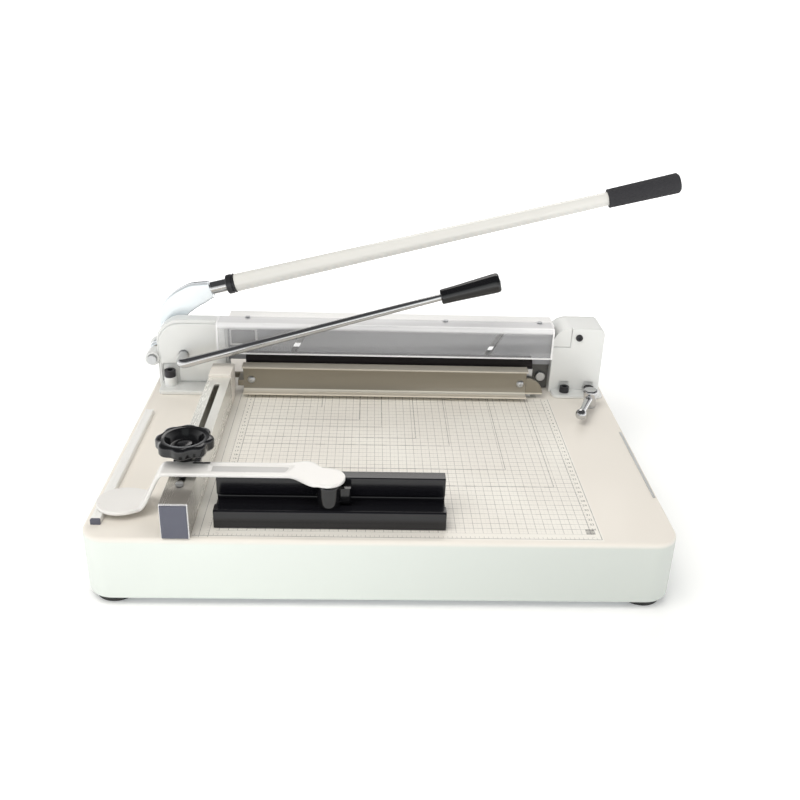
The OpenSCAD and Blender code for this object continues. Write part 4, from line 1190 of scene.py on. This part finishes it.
@dataclass
class BackGauge:
    """The S-shaped arm, the fence, its post, the shoe and the stud."""

    thick: float = 4.6
    low: float = 9.75
    high: float = 50.5
    ramp: tuple[float, float] = (-271.5, -243.0)
    disc: Point = (-293.8, 60.3, 27.3)
    hub: Point = (-62.0, 48.3, 19.5)
    arm: tuple[float, float] = (49.5, 78.0)
    # How far past the disc's middle the arm leaves it, and where its sides run straight
    join: float = 4.0
    straight: float = -250.0
    # Where the near and the far side start to swell towards the hub
    swell: tuple[float, float] = (-106.0, -92.0)
    # The place, reach and height of the far side's bulge
    bulge: Point = (-84.0, 15.0, 6.0)
    # Left, right, near and far sides of the pressed panel, and its depth
    panel: tuple[float, float, float, float] = (-196.0, -108.0, 55.5, 70.5)
    panel_depth: float = 1.7

    def height(self, x: float) -> float:
        """The arm's middle height."""
        return self.low + (self.high - self.low) * ease(
            (x - self.ramp[0]) / (self.ramp[1] - self.ramp[0]))

    def edges(self, x: float) -> tuple[float, float]:
        """The arm's front and back edges.

        Args:
            x: Where along the arm.

        Returns:
            The distances of its two edges from the table's front edge.
        """
        cx, cd, r = self.disc
        hx, hd, hr = self.hub
        front, back = self.arm
        if x < cx + self.join:
            half = chord(x, cx, r)
            return cd - half, cd + half
        if x < self.straight:
            t = ease((x - cx - self.join) / (self.straight - cx - self.join))
            half = chord(self.join, 0.0, r)
            return (cd - half) * (1 - t) + front * t, (cd + half) * (1 - t) + back * t
        half = chord(x, hx, hr)
        if x > hx:
            return hd - half, hd + half
        near_start, far_start = self.swell
        near = front + (hd - hr - front + 2.0) * ease((x - near_start) / (hx - 12 - near_start))
        far = back + (hd + hr - back) * ease((x - far_start) / (hx + 6 - far_start))
        place, reach, rise = self.bulge
        far += rise * math.exp(-((x - place) / reach) ** 2)
        blend = ease((x - hx + 16) / 16)
        return (near * (1 - blend) + (hd - half) * blend,
                far * (1 - blend) + (hd + half) * blend)

    def emboss(self, x: float, across: float) -> float:
        """How deep the pressed panel lies.

        Args:
            x: Where along the arm.
            across: Distance from the table's front edge.

        Returns:
            The depth in millimetres.
        """
        left, right, near, far = self.panel
        inside = ease((x - left) / 5) * (1 - ease((x - right - (across - 64) * 0.5) / 5))
        side = ease((across - near) / 2.5) * (1 - ease((across - far) / 2.5))
        return self.panel_depth * inside * side

    def build_arm(self) -> None:
        """Lofts the arm across its length."""
        cx, _, r = self.disc
        hx, _, hr = self.hub
        xs = [cx - r * math.cos(math.radians(a)) for a in (2, 6, 12, 20, 30, 42, 54, 66, 78, 90)]
        xs += [cx + (self.ramp[0] - cx) * i / 8 for i in range(1, 9)]
        xs += [self.ramp[0] + (self.ramp[1] - self.ramp[0]) * i / 28 for i in range(1, 29)]
        xs += [-243 + (hx - 24 + 243) * i / 78 for i in range(1, 79)]
        xs += [hx - 24 + 24 * i / 12 for i in range(1, 13)]
        xs += [hx + hr * math.sin(math.radians(a)) for a in (12, 24, 36, 48, 60, 70, 78, 84, 88)]
        count, edge, half = 26, 1.7, self.thick / 2
        rings = []
        for x in xs:
            near, far = self.edges(x)
            slope = (self.height(x + 0.2) - self.height(x - 0.2)) / 0.4
            normal = Vector((-slope, 0, 1)).normalized()
            ring = []
            for side in (1, -1):
                for i in range(count + 1):
                    u = (1 - math.cos(math.pi * i / count)) / 2
                    u = u if side > 0 else 1 - u
                    d = near + (far - near) * u
                    gap = min(d - near, far - d, edge)
                    lift = half - edge + math.sqrt(max(0.0, edge ** 2 - (edge - gap) ** 2))
                    if side > 0:
                        lift -= self.emboss(x, d)
                    ring.append((x + normal.x * lift * side, d,
                                 self.height(x) + normal.z * lift * side))
            rings.append(ring)
        # A grey sheet laid in the pressed recess is painted shade
        panel = [(-191, 58.2), (-110.5, 58.2), (-107, 62.5), (-106, 69.2), (-112, 70.2),
                 (-191, 70.2)]
        Shape().loft([[(x, d, z) for x, d in panel] for z in (51.0, 51.35)]).piece(
            "gauge_arm_recess_shade", RECESS_SHADE, Body.GAUGE, "lever_paint", bevel=0.15)
        # A dark sheet on top of the arm stands in for its slot: painted shade
        slot = round_rect((-214, -194), (72.6, 76.2), [1.7] * 4, 5)
        Shape().loft([[(x, d, z) for x, d in slot] for z in (52.4, 52.95)]).piece(
            "gauge_arm_slot", OXIDE, Body.GAUGE, "dark_steel", bevel=0.15)
        Shape().loft(rings).piece("gauge_arm_pressed", CAST_ARM, Body.GAUGE, "lever_paint",
                                  "gauge_arm", angle=50)

    def build(self) -> None:
        """Builds the gauge's pieces."""
        self.build_arm()
        outline = [(22.7, 1.3), (23.7, 0.3), (68.0, 0.3), (69.0, 1.3), (69.0, 47.2),
                   (68.2, 48.0), (54.4, 48.0), (53.4, 47.0), (53.4, 26.0), (54.2, 25.0),
                   (57.5, 25.0), (57.5, 17.0), (38.0, 17.0), (36.4, 23.0), (24.4, 23.0),
                   (22.7, 21.3)]
        Shape().along_x(outline, -185.5, 69.5).piece(
            "fence_extrusion", FENCE, Body.GAUGE, "fence_black", "gauge_fence", bevel=0.45)
        shape = Shape()
        shape.lathe([(10.0, 23.0), (12.6, 23.0), (13.0, 23.6), (13.0, 46.0), (12.2, 48.0),
                     (9.0, 48.0)], (-60, 40, 0), UPWARD, 48)
        block = round_rect((-50, -36), (40, 55), [2.5, 0.3, 0.3, 2.5], 5)
        shape.loft([[(x, d, z) for x, d in block] for z in (23.0, 42.0)])
        shape.piece("fence_post", BLACK, Body.GAUGE, "black_plastic", "gauge_post", bevel=0.3,
                    angle=50)
        softened(Body.GAUGE, "black_plastic", BLACK, 0.6, "gauge_shoe")
        softened(Body.GAUGE, "zinc_steel", ZINC, 0.3, "gauge_stud")


@dataclass
class StarKnob:
    """The lobed knob that clamps the gauge to its rail."""

    centre: tuple[float, float] = (-223.2, 85.0)
    lobes: int = 8
    radius: float = 33.0
    low: float = 53.3
    rim: float = 66.0
    top: float = 80.0

    def lobed(self, angle: float) -> float:
        """The radius scale round the rim."""
        wave = (1 - math.cos(angle * self.lobes)) / 2
        return 1.0 - 0.11 * wave ** 1.4

    def build(self) -> None:
        """Turns the knob, whose rim is lobed and whose hub and dish are round."""
        top, rim_z, r = self.top, self.rim, self.radius
        rim = [(10.6, self.low), (10.9, self.low + 4), (12.5, rim_z - 3.4),
               (20.0, rim_z - 0.6), (r - 4.2, rim_z), (r - 1.2, rim_z + 1.0),
               (r - 0.1, rim_z + 3.0), (r - 0.1, top - 3.4), (r - 1.2, top - 1.2),
               (r - 3.4, top - 0.1)]
        dish = [(r - 6.0, top), (23.0, top - 0.2), (22.0, top - 1.3), (19.4, top - 6.2),
                (17.0, top - 10.4), (15.6, top - 11.0), (10.4, top - 11.0),
                (9.6, top - 10.2), (8.6, top - 8.0), (7.6, top - 7.4), (2.0, top - 7.2)]
        x, d = self.centre
        segments = self.lobes * 14
        turns = [2 * math.pi * i / segments for i in range(segments)]
        rings = []
        for k, (r, z) in enumerate(rim + dish):
            wavy = k < len(rim) and r > 20
            reach = [r * (self.lobed(t) if wavy else 1.0) for t in turns]
            rings.append([(x + s * math.cos(t), d + s * math.sin(t), z)
                          for s, t in zip(reach, turns)])
        Shape().loft(rings).piece(
            "lobed_knob", BLACK, Body.KNOB, "black_plastic", "star_knob", angle=50)


@dataclass
class LockLever:
    """The chrome lever with a bell-shaped hub and a ball end."""

    hub: tuple[float, float] = (297.5, 345.0)
    ball: Point = (272.5, 287.0, 16.0)
    ball_radius: float = 7.6

    def build(self) -> None:
        """Builds the hub, the arm and the ball as one piece."""
        shape = Shape()
        x, d = self.hub
        shape.lathe([(4.2, 3.4), (8.6, 3.4), (9.0, 4.0), (8.6, 7.5), (8.8, 13), (10.0, 19),
                     (10.5, 22.4), (10.4, 24.4), (9.4, 26.2), (8.2, 27.0), (5.6, 26.2),
                     (3.0, 25.9)], (x, d, 0), UPWARD, 48)
        start, end = Vector((x, d, 15.0)), Vector(self.ball)
        axis = end - start
        length = axis.length
        profile = [(5.6, 4.0), (5.5, 12.0), (5.1, 24.0), (4.8, 38.0), (4.8, length - 6.6)]
        r = self.ball_radius
        profile += [(r * math.sin(math.radians(a)), length - r * math.cos(math.radians(a)))
                    for a in (*range(44, 165, 12), 175)]
        shape.lathe(profile, tuple(start), axis, 40)
        shape.piece("lock_handle", CHROME, Body.LOCK, "chrome_steel", "lock_lever", angle=55)


# ---------------------------------------------------------------- studio


@dataclass
class Studio:
    """A pale floor, soft lights and the camera."""

    eye: Point = (-20.2, -824.8, 566.7)
    yaw: float = 2.3027
    pitch: float = 25.6265
    roll: float = 1.9527
    lens: float = 41.18
    sensor: float = 36.0

    def build(self) -> None:
        """Sets up the stage."""
        scene = bpy.context.scene
        scene.view_settings.view_transform = "Standard"
        self.build_floor()
        self.build_world()
        for name, place, size, watts, tint, mirrored in (
                ("key", (-900, -700, 2300), 2200, 53, (1.0, 0.975, 0.93), False),
                ("fill", (1500, -900, 1500), 1800, 11, (1.0, 0.97, 0.93), False),
                ("rear", (200, 1900, 1900), 1600, 18, (1.0, 0.98, 0.95), True),
                ("front", (0, -2400, 900), 1800, 3, (0.9, 1.0, 0.97), True)):
            self.light(name, place, size, watts, tint, mirrored)
        self.build_camera()

    def build_floor(self) -> None:
        """Lays a wide white floor under the feet."""
        mesh = bpy.data.meshes.new("floor")
        z = CAD_BOX[0][2] - 0.0002
        mesh.from_pydata([(-30, -30, z), (30, -30, z), (30, 30, z), (-30, 30, z)], [],
                         [(0, 1, 2, 3)])
        floor = bpy.data.objects.new("studio_floor", mesh)
        bpy.context.scene.collection.objects.link(floor)
        tree = Surface("floor_white")
        x, depth, _ = tree.split(tree.place())
        reach = (x * x + (depth - 250) * (depth - 250)).math("SQRT")
        glow = tree.mix(reach.ramp(300, 1500), (0.17, 0.18, 0.18), (1.0, 1.0, 1.0))
        mesh.materials.append(tree.feed(Base_Color=(0.9, 0.9, 0.9, 1), Roughness=0.9,
                                        Emission_Color=glow, Emission_Strength=1.0))

    def build_world(self) -> None:
        """Makes a surround that is white low down and dim overhead."""
        world = bpy.data.worlds.new("studio")
        bpy.context.scene.world = world
        world.use_nodes = True
        tree = Tree(world.node_tree)
        height = tree.split(tree.node("ShaderNodeTexCoord", out="Generated"))[Axis.UP.value]
        stops = ((0.16, (1.0, 1.0, 1.0)), (0.5, (0.09, 0.09, 0.095)))
        sky = tree.node("ShaderNodeValToRGB", {"stops": stops}, {0: height})
        tree.tree.links.new(sky.socket, tree.tree.nodes["Background"].inputs[0])

    def light(self, name: str, place: Point, size: float, watts: float, tint: Colour,
              mirrored: bool) -> None:
        """Hangs one soft square light that faces the machine.

        Args:
            name: Its name.
            place: Where, in millimetres from the table's front edge.
            size: The length of its side in millimetres.
            watts: Its power.
            tint: Its colour.
            mirrored: Whether it shows in shiny surfaces.
        """
        data = bpy.data.lights.new(name, "AREA")
        data.size, data.energy, data.color = size * MM, watts, tint
        lamp = bpy.data.objects.new(name, data)
        lamp.location = at(*place)
        aim = at(0, 250, 0) - lamp.location
        lamp.rotation_euler = aim.to_track_quat("-Z", "Y").to_euler()
        lamp.visible_glossy = mirrored
        bpy.context.scene.collection.objects.link(lamp)

    def build_camera(self) -> None:
        """Places the camera in front of the machine and above it."""
        yaw, pitch, roll = map(math.radians, (self.yaw, self.pitch, self.roll))
        ahead = Vector((math.sin(yaw) * math.cos(pitch), math.cos(yaw) * math.cos(pitch),
                        -math.sin(pitch)))
        right0 = Vector((math.cos(yaw), -math.sin(yaw), 0))
        up0 = right0.cross(ahead)
        right = right0 * math.cos(roll) + up0 * math.sin(roll)
        up = up0 * math.cos(roll) - right0 * math.sin(roll)
        data = bpy.data.cameras.new("camera")
        data.lens, data.sensor_width = self.lens, self.sensor
        camera = bpy.data.objects.new("camera", data)
        turn = Matrix((right, up, -ahead)).transposed().to_4x4()
        camera.matrix_world = Matrix.Translation(at(*self.eye)) @ turn
        bpy.context.scene.collection.objects.link(camera)
        bpy.context.scene.camera = camera


def main() -> None:
    """Builds the machine and its studio."""
    logging.basicConfig(level=logging.INFO, format="%(message)s")
    Studio().build()
    assemblies = (Table(), Rail(), Frames(), Inside(), Guard(), HandLever(), ClampLever(),
                  KnifeUnit(), PressBar(), BackGauge(), StarKnob(), LockLever())
    for assembly in assemblies:
        assembly.build()
        LOG.info("%s built", type(assembly).__name__)


if __name__ == "__main__":
    main()
